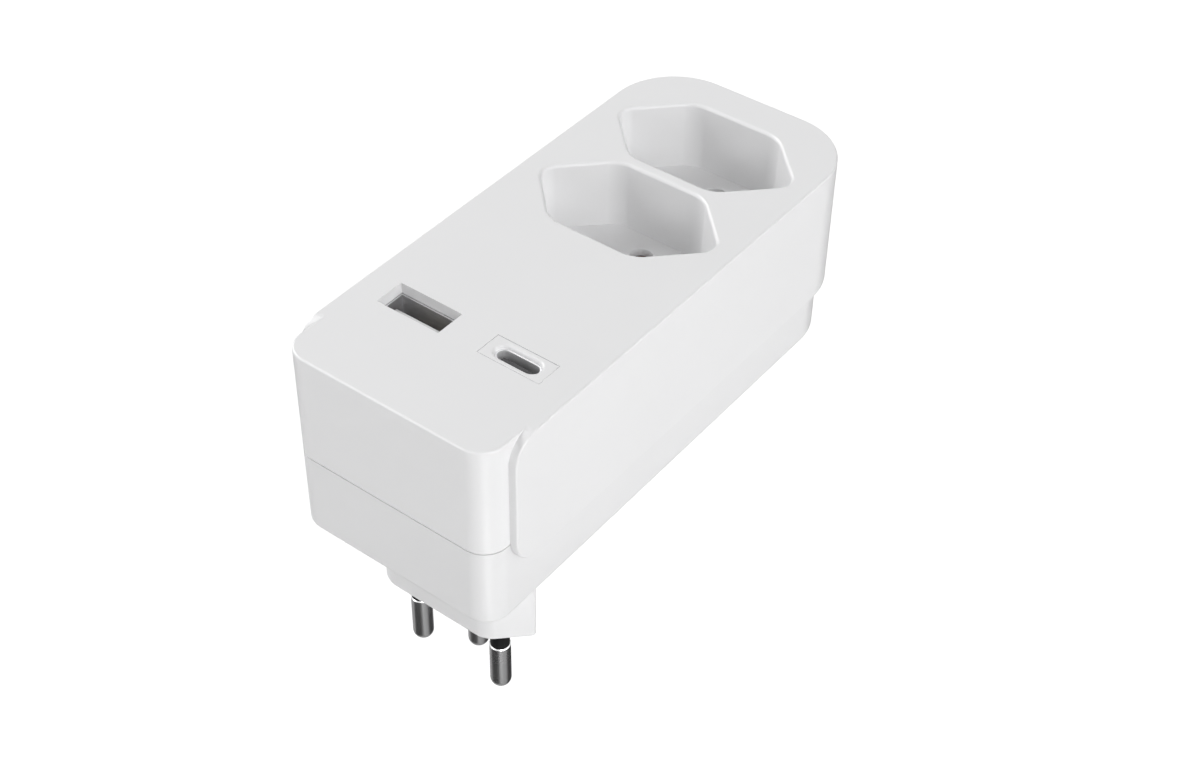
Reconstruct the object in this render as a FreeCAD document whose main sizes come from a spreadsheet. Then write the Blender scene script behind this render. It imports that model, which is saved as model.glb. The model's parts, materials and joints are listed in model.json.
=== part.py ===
import FreeCAD, Part
import math
import os
import Sketcher

# Two-socket plug adapter with two charging ports.
# Frame: origin midway between the two live pins, on the face of the plug boss that meets the wall socket.
# +Z points out of the sockets, +Y runs from the plug towards the sockets, +X is to the right.

os.makedirs("parts", exist_ok=True)
doc = FreeCAD.newDocument("socket_adapter")

# Driving dimensions in millimetres and degrees
sizes = [
    ("body_width", 43.6, "width of the front block and of the lower body"),
    ("body_length", 106.8, "length of the lower body"),
    ("plug_setback", 16.6, "front face to the line through the live pins"),
    ("front_round", 4.8, "plan corner radius at the front"),
    ("far_round", 12.0, "plan corner radius of the lower body at the far end"),
    ("base_height", 17.0, "lower shell, from its underside to the parting line"),
    ("cover_height", 22.5, "upper shell, from the parting line to the top"),
    ("skirt_step", 1.6, "how far the cover's side panels stand out"),
    ("skirt_drop", 5.1, "how far the side panels hang below the parting line"),
    ("panel_setback", 5.4, "front face to the front edge of a side panel"),
    ("panel_round", 5.2, "corner radius of a side panel"),
    ("edge_round", 0.5, "small radius along the outer edges of the cover"),
    ("bottom_round", 1.0, "radius along the lower edge of the base"),
    ("parting_gap", 0.15, "open joint line between the two shells"),
    ("parting_depth", 0.5, "depth of that joint line"),
    ("shell_wall", 1.8, "wall of both shells"),
    ("roof", 2.2, "thickness of the cover's top"),
    ("shell_gap", 0.1, "gap between the skirt and the base"),
    ("lip_wall", 0.8, "locating lip on the rim of the base"),
    ("lip_height", 1.5, "height of the locating lip"),
    ("pin_spacing", 19.0, "distance between the live pins"),
    ("earth_offset", 5.0, "earth pin or contact from the line of the live ones"),
    ("pin_radius", 2.0, "plug pin"),
    ("pin_length", 19.0, "plug pin, from the boss face to its tip"),
    ("tip_round", 1.9, "rounding of a pin's tip"),
    ("neck_length", 7.8, "insulated neck of a live pin"),
    ("neck_radius", 1.82, "outside of the insulating sleeve"),
    ("neck_shoulder", 0.4, "chamfer where the metal meets the sleeve"),
    ("core_radius", 1.25, "metal core inside the sleeve"),
    ("stem_radius", 1.5, "stem of the earth pin inside the boss face"),
    ("sleeve_stem", 1.6, "insulating sleeve inside the boss face"),
    ("rivet_radius", 2.0, "riveted head above the busbar"),
    ("rivet_height", 1.2, "height of the riveted head"),
    ("boss_height", 18.3, "plug boss below the body"),
    ("boss_front", 6.6, "boss flat in front of the live pins"),
    ("boss_back", 9.2, "boss flat behind the live pins"),
    ("boss_wall", 1.6, "wall of the boss"),
    ("boss_side", 8.6, "pointed end of the boss outside the middle of a live pin"),
    ("boss_round", 4.7, "upright edges at the ends of the boss flats"),
    ("boss_tip_round", 0.8, "upright edges at the boss points"),
    ("boss_edge", 0.4, "small radius round the boss face"),
    ("boss_floor", 3.0, "thickness of the boss face"),
    ("pin_hole_gap", 0.05, "gap round a pin in the boss face"),
    ("socket_margin", 17.2, "middle of the far socket to the far end of the lower body"),
    ("socket_pitch", 24.0, "distance between the two sockets"),
    ("recess_flat", 10.7, "socket centre to a long side of its recess"),
    ("recess_margin", 1.9, "pointed end of a recess to the side of the body"),
    ("recess_depth", 14.0, "depth of a socket recess"),
    ("recess_draft", 1.2, "draft angle of the recess walls in degrees"),
    ("recess_round", 5.5, "upright edges beside the long sides of a recess"),
    ("recess_tip_round", 3.0, "upright edges at the points of a recess"),
    ("rim_round", 0.7, "rounded rim of a recess"),
    ("cup_wall", 1.6, "wall and floor of a socket cup"),
    ("contact_hole", 2.1, "radius of a contact hole"),
    ("hole_chamfer", 0.45, "chamfer round a contact hole"),
    ("usb_y", 5.2, "live pins to the line of the charging ports"),
    ("port_share", 0.53, "middle of a charging port, as a share of the inside half width"),
    ("window_width", 13.5, "window of the wide port in the cover"),
    ("window_height", 6.2, "height of that window"),
    ("window_sill", 1.3, "depth of the sill inside that window"),
    ("window_step", 0.08, "step of that sill"),
    ("port_a_width", 12.7, "inside width of the wide port"),
    ("port_a_height", 5.4, "inside height of the wide port"),
    ("can_wall", 0.28, "sheet of the port shells"),
    ("tongue_width", 10.4, "tongue of the wide port"),
    ("tongue_thick", 1.85, "thickness of that tongue"),
    ("tongue_gap", 0.75, "space in front of that tongue"),
    ("tongue_depth", 2.6, "tongue tip below the cover's top"),
    ("tongue_base", 2.0, "plug at the foot of a port"),
    ("contact_width", 1.0, "contact blade of the wide port"),
    ("contact_thick", 0.25, "thickness of a contact blade"),
    ("contact_pitch", 2.3, "distance between contact blades"),
    ("contact_back", 0.8, "contact blade behind the tongue's tip"),
    ("insert_width", 12.8, "window of the slim port's insert"),
    ("insert_height", 5.4, "height of that window"),
    ("insert_gap", 0.08, "gap round the insert"),
    ("insert_flange", 0.9, "flange of the insert under the roof"),
    ("insert_flange_height", 1.2, "thickness of that flange"),
    ("slot_width", 9.0, "slot in the insert"),
    ("slot_height", 3.2, "height of the slot"),
    ("slot_round", 0.6, "soft lead-in of the slot"),
    ("port_c_width", 8.34, "inside width of the slim port"),
    ("port_c_height", 2.56, "inside height of the slim port"),
    ("port_c_sink", 0.8, "slim port's mouth below the cover's top"),
    ("blade_width", 6.7, "tongue of the slim port"),
    ("blade_thick", 0.7, "thickness of that tongue"),
    ("blade_sink", 0.9, "that tongue's tip below the port's mouth"),
    ("board_drop", 13.1, "cover roof to the circuit board"),
    ("board_thick", 1.6, "circuit board"),
    ("board_gap", 1.5, "circuit board to the inside of the side wall"),
    ("board_front", 7.4, "live pins to the front edge of the board"),
    ("board_cup_gap", 5.7, "back edge of the board to the cup of the near socket"),
    ("stud_side", 2.3, "middle of a stud to the side edge of the board"),
    ("stud_end", 2.6, "middle of a stud to the front or back edge of the board"),
    ("stud_radius", 1.8, "stud under the board"),
    ("strip_width", 3.6, "busbar strip"),
    ("strip_thick", 0.8, "thickness of a busbar"),
    ("strip_riser", 3.6, "pin to the riser of its busbar"),
    ("strip_foot", 2.4, "busbar foot past the middle of the pin"),
    ("strip_bend", 0.5, "inside bend of a busbar"),
    ("strip_lift", 3.5, "busbar above the inside of the base"),
    ("strip_tail", 3.6, "busbar past the middle of its last contact"),
    ("tube_radius", 1.9, "inside of a contact tube"),
    ("tube_wall", 0.7, "wall of a contact tube"),
    ("tube_gap", 0.3, "contact tube below the cup floor"),
    ("slit_width", 0.6, "slit that makes a contact tube springy"),
    ("slit_depth", 12.0, "length of that slit"),
    ("carrier_side", 2.25, "contact carrier beside the outer contact tubes"),
    ("carrier_front", 9.0, "near end of the carrier to the middle of the near socket"),
    ("carrier_lip", 3.0, "carrier above the top of the busbars"),
    ("groove_gap", 0.1, "gap beside a busbar in its groove"),
    ("screw_front_y", 11.0, "live pins to the front screws"),
    ("screw_far_side", 1.5, "far screw columns to the inside of the side wall"),
    ("screw_far_gap", 0.8, "far screw columns to the inside of the far wall"),
    ("screw_radius", 1.4, "screw shank"),
    ("screw_gap", 0.05, "gap round a screw shank"),
    ("screw_grip", 9.0, "screw length inside the cover"),
    ("head_radius", 2.6, "screw head"),
    ("head_height", 2.0, "height of a screw head"),
    ("head_sink", 5.0, "screw head below the underside"),
    ("column_wall", 1.2, "wall of a screw column"),
    ("cross_width", 0.7, "arm of the cross recess in a screw head"),
    ("lead_radius", 0.9, "insulated lead"),
    ("lead_share", 0.753, "leads, as a share of the way along the board"),
    ("lead_side", 3.9, "upper end of a lead to the side edge of the board"),
    ("core_gap", 1.7, "transformer core to the input capacitors"),
    ("core_depth_share", 0.156, "thickness of the core, as a share of the board's length"),
    ("core_height", 12.4, "height of the core"),
    ("core_middle_share", 0.294, "middle leg of the core, as a share of its width"),
    ("winding_share", 0.161, "winding either side of the core's middle, as a share of the board's length"),
    ("transformer_share", 0.518, "transformer, as a share of the way along the board"),
    ("can_radius_share", 0.1016, "radius of an input capacitor, as a share of the board's length"),
    ("can_height", 12.0, "height of an input capacitor"),
    ("can_share", 0.655, "input capacitors, as a share of the inside half width"),
    ("can_a_share", 0.3125, "first input capacitor, as a share of the way along the board"),
    ("can_b_share", 0.547, "second input capacitor, as a share of the way along the board"),
    ("small_can_share", 0.0807, "radius of the output capacitor, as a share of the board's length"),
    ("small_can_height", 10.0, "height of the output capacitor"),
    ("output_share", 0.294, "output capacitor, as a share of the way along the board"),
    ("disc_radius_share", 0.0885, "radius of the disc capacitor, as a share of the board's length"),
    ("disc_thick", 2.8, "thickness of the disc capacitor"),
    ("disc_share", 0.521, "disc capacitor, as a share of the way along the board"),
    ("resistor_radius", 1.6, "fusible resistor"),
    ("resistor_length", 6.4, "length of that resistor"),
    ("resistor_x", 5.4, "middle plane to that resistor"),
    ("row_share", 0.885, "resistor and rectifier, as a share of the way along the board"),
    ("wire_radius", 0.35, "bare component wire"),
    ("wire_reach", 1.2, "component wire beyond the end of the resistor"),
    ("leg_height", 2.4, "component legs under the board"),
    ("bridge_width", 6.4, "rectifier"),
    ("bridge_share", 0.125, "depth of the rectifier, as a share of the board's length"),
    ("bridge_height", 2.5, "height of the rectifier"),
    ("chip_width", 5.0, "controller chip"),
    ("chip_depth", 4.0, "depth of the chip"),
    ("chip_height", 1.5, "height of the chip"),
    ("chip_share", 0.6875, "controller chip, as a share of the way along the board"),
    ("chip_leg", 0.45, "leg of a chip"),
]
sheet = doc.addObject("Spreadsheet::Sheet", "Sizes")
for row, (alias, value, note) in enumerate(sizes, start=1):
    sheet.set("A%d" % row, note)
    sheet.set("B%d" % row, str(value))
    sheet.setAlias("B%d" % row, alias)
doc.recompute()


class Size:
    # A length that carries its number and the sheet expression behind it
    def __init__(self, value, text):
        self.value = float(value)
        self.text = text

    def __add__(self, other):
        other = sized(other)
        return Size(self.value + other.value, "(%s + %s)" % (self.text, other.text))

    def __sub__(self, other):
        other = sized(other)
        return Size(self.value - other.value, "(%s - %s)" % (self.text, other.text))

    def __mul__(self, other):
        other = sized(other)
        return Size(self.value * other.value, "(%s * %s)" % (self.text, other.text))

    def __truediv__(self, other):
        other = sized(other)
        return Size(self.value / other.value, "(%s / %s)" % (self.text, other.text))

    def __neg__(self):
        return Size(-self.value, "(0 - %s)" % self.text)

    def __radd__(self, other):
        return sized(other) + self

    def __rsub__(self, other):
        return sized(other) - self

    def __rmul__(self, other):
        return sized(other) * self


def sized(number):
    if isinstance(number, Size):
        return number
    if number < 0:
        return Size(number, "(0 - %.6f)" % -number)
    return Size(number, "%.6f" % number)


class Dimensions:
    pass


d = Dimensions()
for alias, value, note in sizes:
    setattr(d, alias, Size(sheet.get(alias), "Sizes.%s" % alias))

# Levels and places worked out from the driving dimensions
zero = sized(0)
root_two = math.sqrt(2.0)
underside = d.boss_height
parting = underside + d.base_height
top = parting + d.cover_height
skirt_bottom = parting - d.skirt_drop
roof_under = top - d.roof
front = -d.plug_setback
body_far = front + d.body_length
cover_far = body_far + d.skirt_step
panel_front = front + d.panel_setback
half_body = d.body_width / 2
half_cover = half_body + d.skirt_step
half_inside = half_body - d.shell_wall
inside_floor = underside + d.shell_wall
half_pins = d.pin_spacing / 2
recess_floor = top - d.recess_depth
cup_bottom = recess_floor - d.cup_wall
board_top = roof_under - d.board_drop
board_bottom = board_top - d.board_thick
strip_bottom = inside_floor + d.strip_lift
strip_top = strip_bottom + d.strip_thick
foot_top = d.boss_floor + d.strip_thick
tube_outer = d.tube_radius + d.tube_wall
head_seat = underside + d.head_sink + d.head_height
column_radius = d.head_radius + d.screw_gap * 4 + d.column_wall
far_socket = body_far - d.socket_margin
socket_places = [far_socket - d.socket_pitch, far_socket]
recess_reach = half_body - d.recess_margin
boss_reach = half_pins + d.boss_side
screw_front_x = half_inside - column_radius
screw_far_x = screw_front_x - d.screw_far_side
screw_far_y = body_far - d.shell_wall - column_radius - d.screw_far_gap
port_x = half_inside * d.port_share

# The board reaches from the front to the near cup, and its parts are laid out along it
half_board = half_inside - d.board_gap
board_back = socket_places[0] - d.recess_flat - d.cup_wall - d.board_cup_gap
board_length = d.board_front + board_back
can_x = half_inside * d.can_share
can_radius = board_length * d.can_radius_share
disc_radius = board_length * d.disc_radius_share
core_width = (can_x - can_radius - d.core_gap) * 2
core_depth = board_length * d.core_depth_share
core_middle = core_width * d.core_middle_share
core_leg = core_middle / 2
winding_reach = board_length * d.winding_share
lead_top_x = half_board - d.lead_side
screw_places = [
    (-screw_front_x, -d.screw_front_y),
    (screw_front_x, -d.screw_front_y),
    (-screw_far_x, screw_far_y),
    (screw_far_x, screw_far_y),
]
stud_x = half_board - d.stud_side
stud_places = [
    (-stud_x, -d.board_front + d.stud_end),
    (stud_x, -d.board_front + d.stud_end),
    (-stud_x, board_back - d.stud_end),
    (stud_x, board_back - d.stud_end),
]
nodes = []


def along(share):
    # place of a part on the board, as a share of the way from its front edge to its back edge
    return board_length * share - d.board_front


transformer_y = along(d.transformer_share)
disc_y = along(d.disc_share)
row_y = along(d.row_share)
lead_y = along(d.lead_share)


def keep(thing, label):
    thing.Label = label
    nodes.append(thing)
    return thing


def bind(thing, prop, size):
    thing.setExpression(prop, sized(size).text)


def new_body(name):
    return doc.addObject("PartDesign::Body", name)


def new_sketch(body, name, role="XY_Plane", at=None):
    sketch = body.newObject("Sketcher::SketchObject", name)
    plane = [feature for feature in body.Origin.OriginFeatures if feature.Role == role][0]
    sketch.AttachmentSupport = (plane, [""])
    sketch.MapMode = "FlatFace"
    if at is not None:
        bind(sketch, "AttachmentOffset.Base.z", at)
    return sketch


def place_point(sketch, element, point, x, y):
    # Ties one point of the sketch to the sheet by its two coordinates
    for kind, size, axis in (("DistanceX", sized(x), -2), ("DistanceY", sized(y), -1)):
        if size.text == zero.text:
            sketch.addConstraint(Sketcher.Constraint("PointOnObject", element, point, axis))
            continue
        index = sketch.addConstraint(Sketcher.Constraint(kind, -1, 1, element, point, size.value))
        sketch.setExpression("Constraints[%d]" % index, size.text)


def polygon(sketch, points):
    points = [(sized(x), sized(y)) for x, y in points]
    first = sketch.GeometryCount
    count = len(points)
    spots = [FreeCAD.Vector(x.value, y.value, 0) for x, y in points]
    for i in range(count):
        sketch.addGeometry(Part.LineSegment(spots[i], spots[(i + 1) % count]), False)
    for i in range(count):
        following = first + (i + 1) % count
        sketch.addConstraint(Sketcher.Constraint("Coincident", first + i, 2, following, 1))
    for i, (x, y) in enumerate(points):
        place_point(sketch, first + i, 1, x, y)


def circle(sketch, x, y, radius):
    x, y, radius = sized(x), sized(y), sized(radius)
    centre = FreeCAD.Vector(x.value, y.value, 0)
    shape = Part.Circle(centre, FreeCAD.Vector(0, 0, 1), radius.value)
    element = sketch.addGeometry(shape, False)
    place_point(sketch, element, 3, x, y)
    index = sketch.addConstraint(Sketcher.Constraint("Radius", element, radius.value))
    sketch.setExpression("Constraints[%d]" % index, radius.text)


def rectangle(sketch, left, right, low, high):
    polygon(sketch, [(left, low), (right, low), (right, high), (left, high)])


def centred_rectangle(sketch, x, y, width, height):
    x, y = sized(x), sized(y)
    rectangle(sketch, x - width / 2, x + width / 2, y - height / 2, y + height / 2)


def rounded_rectangle(sketch, left, right, low, high, radii):
    # radii follow the corners left-low, right-low, right-high, left-high; None leaves a corner sharp
    corners = [(left, low), (right, low), (right, high), (left, high)]
    ways = [(1, 0), (0, 1), (-1, 0), (0, -1)]
    trims = [0.0 if radius is None else sized(radius).value for radius in radii]
    spots = [FreeCAD.Vector(x.value, y.value, 0) for x, y in corners]
    vectors = [FreeCAD.Vector(x, y, 0) for x, y in ways]
    lines = []
    for i in range(4):
        start = spots[i] + vectors[i] * trims[i]
        end = spots[(i + 1) % 4] - vectors[i] * trims[(i + 1) % 4]
        lines.append(sketch.addGeometry(Part.LineSegment(start, end), False))
        straight = "Horizontal" if i % 2 == 0 else "Vertical"
        sketch.addConstraint(Sketcher.Constraint(straight, lines[i]))
    for i in range(4):
        before = lines[(i + 3) % 4]
        if radii[i] is None:
            sketch.addConstraint(Sketcher.Constraint("Coincident", before, 2, lines[i], 1))
            continue
        centre = spots[i] + (vectors[i] - vectors[(i + 3) % 4]) * trims[i]
        begin = math.radians(180 + 90 * i)
        round_part = Part.Circle(centre, FreeCAD.Vector(0, 0, 1), trims[i])
        arc = sketch.addGeometry(Part.ArcOfCircle(round_part, begin, begin + math.pi / 2), False)
        sketch.addConstraint(Sketcher.Constraint("Tangent", before, 2, arc, 1))
        sketch.addConstraint(Sketcher.Constraint("Tangent", arc, 2, lines[i], 1))
        index = sketch.addConstraint(Sketcher.Constraint("Radius", arc, trims[i]))
        sketch.setExpression("Constraints[%d]" % index, sized(radii[i]).text)
    sides = [("DistanceY", 0, low), ("DistanceX", 1, right), ("DistanceY", 2, high), ("DistanceX", 3, left)]
    for kind, i, size in sides:
        index = sketch.addConstraint(Sketcher.Constraint(kind, -1, 1, lines[i], 1, size.value))
        sketch.setExpression("Constraints[%d]" % index, size.text)


def stadium(sketch, x, y, width, height):
    # A slot with round ends, lying along X
    x, y, radius = sized(x), sized(y), height / 2
    reach = width / 2 - radius
    rounded_rectangle(sketch, x - reach - radius, x + reach + radius, y - radius, y + radius,
                      [radius * 0.999] * 4)


def hexagon(sketch, y, low_flat, high_flat, reach, grow=0.0):
    # Pointed ends on the X axis with 45 degree sides; grow moves every side outwards
    low = low_flat + grow
    high = high_flat + grow
    tip = reach + sized(grow) * root_two
    points = [(-tip, y), (low - tip, y - low), (tip - low, y - low), (tip, y), (tip - high, y + high)]
    points.append((high - tip, y + high))
    polygon(sketch, points)


def pad(body, sketch, name, length, mid=False):
    feature = body.newObject("PartDesign::Pad", name)
    feature.Profile = sketch
    bind(feature, "Length", length)
    feature.Midplane = mid
    sketch.Visibility = False
    return feature


def pocket(body, sketch, name, depth, draft=None):
    feature = body.newObject("PartDesign::Pocket", name)
    feature.Profile = sketch
    bind(feature, "Length", depth)
    if draft is not None:
        bind(feature, "TaperAngle", draft)
    sketch.Visibility = False
    return feature


def revolve(body, sketch, name):
    feature = body.newObject("PartDesign::Revolution", name)
    feature.Profile = sketch
    feature.ReferenceAxis = (sketch, ["V_Axis"])
    feature.Angle = 360
    return feature


def edge_feature(body, kind, name, size, picked):
    # Fillets or chamfers the edges of the body's tip that picked accepts
    doc.recompute()
    base = body.Tip
    chosen = ["Edge%d" % (i + 1) for i, edge in enumerate(base.Shape.Edges) if picked(edge)]
    if not chosen:
        raise RuntimeError("no edge found for " + name)
    feature = body.newObject("PartDesign::" + kind, name)
    feature.Base = (base, chosen)
    bind(feature, "Radius" if kind == "Fillet" else "Size", size)
    return feature


def near(first, second, slack=0.02):
    return abs(first - second) < slack


def span(edge):
    box = edge.BoundBox
    return box.XLength, box.YLength, box.ZLength


def upright(edge, x=None, y=None, low=None, high=None):
    wide, deep, tall = span(edge)
    if wide > 0.5 or deep > 0.5 or tall < 1.0 or not isinstance(edge.Curve, Part.Line):
        return False
    middle = edge.CenterOfMass
    if x is not None and abs(abs(middle.x) - abs(x)) > 0.3:
        return False
    if y is not None and abs(middle.y - y) > 0.3:
        return False
    if low is not None and edge.BoundBox.ZMin < low - 0.05:
        return False
    return high is None or edge.BoundBox.ZMax < high + 0.05


def flat_at(edge, level):
    box = edge.BoundBox
    return near(box.ZMin, level) and near(box.ZMax, level)


def build_cover():
    body = new_body("cover_body")
    sketch = new_sketch(body, "block_outline", at=parting)
    block_back = panel_front + d.panel_round * 2
    rounds = [d.front_round, d.front_round, None, None]
    rounded_rectangle(sketch, -half_body, half_body, front, block_back, rounds)
    pad(body, sketch, "block", d.cover_height)

    def block_top(edge):
        return flat_at(edge, top.value) and edge.CenterOfMass.y < block_back.value - 0.1
    edge_feature(body, "Fillet", "block_edge", d.edge_round, block_top)

    sketch = new_sketch(body, "panel_outline", role="YZ_Plane")
    rounds = [d.panel_round, None, None, d.panel_round]
    rounded_rectangle(sketch, panel_front, cover_far, skirt_bottom, top, rounds)
    pad(body, sketch, "panels", half_cover * 2, mid=True)

    def far_corner(edge):
        return upright(edge, x=half_cover.value, y=cover_far.value)
    edge_feature(body, "Fillet", "far_corners", d.far_round + d.skirt_step, far_corner)

    def panel_rim(edge):
        box = edge.BoundBox
        on_side = near(abs(edge.CenterOfMass.x), half_cover.value)
        tall = box.ZLength > 1.0 and box.YLength < 0.1
        if on_side and tall:
            return near(box.YMin, panel_front.value)
        return on_side
    edge_feature(body, "Fillet", "panel_edge", d.edge_round, panel_rim)

    # The hollow, the seat for the rim of the base and the rebate for its lip
    inner_front = d.front_round - d.shell_wall
    inner_far = d.far_round - d.shell_wall
    rounds = [inner_front, inner_front, inner_far, inner_far]
    inner_low = front + d.shell_wall
    inner_high = body_far - d.shell_wall
    sketch = new_sketch(body, "hollow_outline", at=roof_under)
    rounded_rectangle(sketch, -half_inside, half_inside, inner_low, inner_high, rounds)
    pocket(body, sketch, "hollow", roof_under - skirt_bottom)
    seat = d.far_round + d.shell_gap
    half_seat = half_body + d.shell_gap
    sketch = new_sketch(body, "base_seat_outline", at=parting)
    rounded_rectangle(sketch, -half_seat, half_seat, front, body_far + d.shell_gap, [None, None, seat, seat])
    pocket(body, sketch, "base_seat", d.skirt_drop)
    ledge = d.lip_wall + d.shell_gap
    rounds = [inner_front + ledge, inner_front + ledge, inner_far + ledge, inner_far + ledge]
    sketch = new_sketch(body, "lip_rebate_outline", at=parting + d.lip_height + d.shell_gap)
    rounded_rectangle(sketch, -half_inside - ledge, half_inside + ledge, inner_low - ledge,
                      inner_high + ledge, rounds)
    pocket(body, sketch, "lip_rebate", d.lip_height + d.shell_gap)

    # Socket cups, then the recesses and the contact holes in their floors
    flat = d.recess_flat + d.cup_wall
    tip = recess_reach + d.cup_wall * root_two
    reach = half_inside + d.lip_wall
    for place, name in zip(socket_places, ("near", "far")):
        sketch = new_sketch(body, name + "_cup_outline", at=cup_bottom)
        low = [(-reach, place - tip + reach), (flat - tip, place - flat), (tip - flat, place - flat)]
        low.append((reach, place - tip + reach))
        high = [(reach, place + tip - reach), (tip - flat, place + flat), (flat - tip, place + flat)]
        high.append((-reach, place + tip - reach))
        polygon(sketch, low + high)
        pad(body, sketch, name + "_cup", roof_under - cup_bottom)
    for place, name in zip(socket_places, ("near", "far")):
        sketch = new_sketch(body, name + "_recess_outline", at=top)
        hexagon(sketch, place, d.recess_flat, d.recess_flat, recess_reach)
        pocket(body, sketch, name + "_recess", d.recess_depth, draft=-d.recess_draft)
        middle = place.value
        reach = d.recess_flat.value + 1.0

        def recess_edge(edge):
            box = edge.BoundBox
            inside = 1.0 < abs(edge.CenterOfMass.y - middle) < reach
            tall = near(box.ZLength, d.recess_depth.value, 0.1) and near(box.ZMax, top.value)
            return inside and tall and box.XLength < 1.0 and box.YLength < 1.0

        def tip_edge(edge):
            box = edge.BoundBox
            inside = abs(edge.CenterOfMass.y - middle) < 1.0
            tall = near(box.ZLength, d.recess_depth.value, 0.1) and near(box.ZMax, top.value)
            return inside and tall and box.XLength < 1.0 and box.YLength < 1.0

        def rim_edge(edge):
            box = edge.BoundBox
            inside = abs(box.YMin - middle) < reach and abs(box.YMax - middle) < reach
            return flat_at(edge, top.value) and inside and abs(edge.CenterOfMass.x) < half_inside.value
        edge_feature(body, "Fillet", name + "_recess_corners", d.recess_round, recess_edge)
        edge_feature(body, "Fillet", name + "_recess_tips", d.recess_tip_round, tip_edge)
        edge_feature(body, "Fillet", name + "_rim", d.rim_round, rim_edge)
    for place, name in zip(socket_places, ("near", "far")):
        sketch = new_sketch(body, name + "_hole_outline", at=recess_floor)
        circle(sketch, -half_pins, place, d.contact_hole)
        circle(sketch, half_pins, place, d.contact_hole)
        circle(sketch, 0, place + d.earth_offset, d.contact_hole)
        pocket(body, sketch, name + "_holes", d.cup_wall)

    def hole_rim(edge):
        round_edge = isinstance(edge.Curve, Part.Circle) and near(edge.Curve.Radius, d.contact_hole.value)
        return round_edge and flat_at(edge, recess_floor.value)
    edge_feature(body, "Chamfer", "hole_rims", d.hole_chamfer, hole_rim)

    # Windows for the two charging ports
    sketch = new_sketch(body, "wide_window_outline", at=top)
    centred_rectangle(sketch, -port_x, d.usb_y, d.window_width, d.window_height)
    pocket(body, sketch, "wide_window", d.window_sill)
    sketch = new_sketch(body, "wide_sill_outline", at=top - d.window_sill)
    centred_rectangle(sketch, -port_x, d.usb_y, d.window_width - d.window_step * 2,
                      d.window_height - d.window_step * 2)
    pocket(body, sketch, "wide_sill", d.roof - d.window_sill)
    sketch = new_sketch(body, "slim_window_outline", at=top)
    centred_rectangle(sketch, port_x, d.usb_y, d.insert_width + d.insert_gap * 2,
                      d.insert_height + d.insert_gap * 2)
    pocket(body, sketch, "slim_window", d.roof)

    # Posts that take the four screws
    sketch = new_sketch(body, "post_outline", at=parting)
    for x, y in screw_places:
        circle(sketch, x, y, d.screw_radius * 2)
    pad(body, sketch, "screw_posts", roof_under - parting)
    sketch = new_sketch(body, "pilot_outline", at=parting + d.screw_grip + d.screw_gap)
    for x, y in screw_places:
        circle(sketch, x, y, d.screw_radius + d.screw_gap)
    pocket(body, sketch, "pilot_holes", d.screw_grip + d.screw_gap)
    return keep(body, "top_cover")


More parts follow.
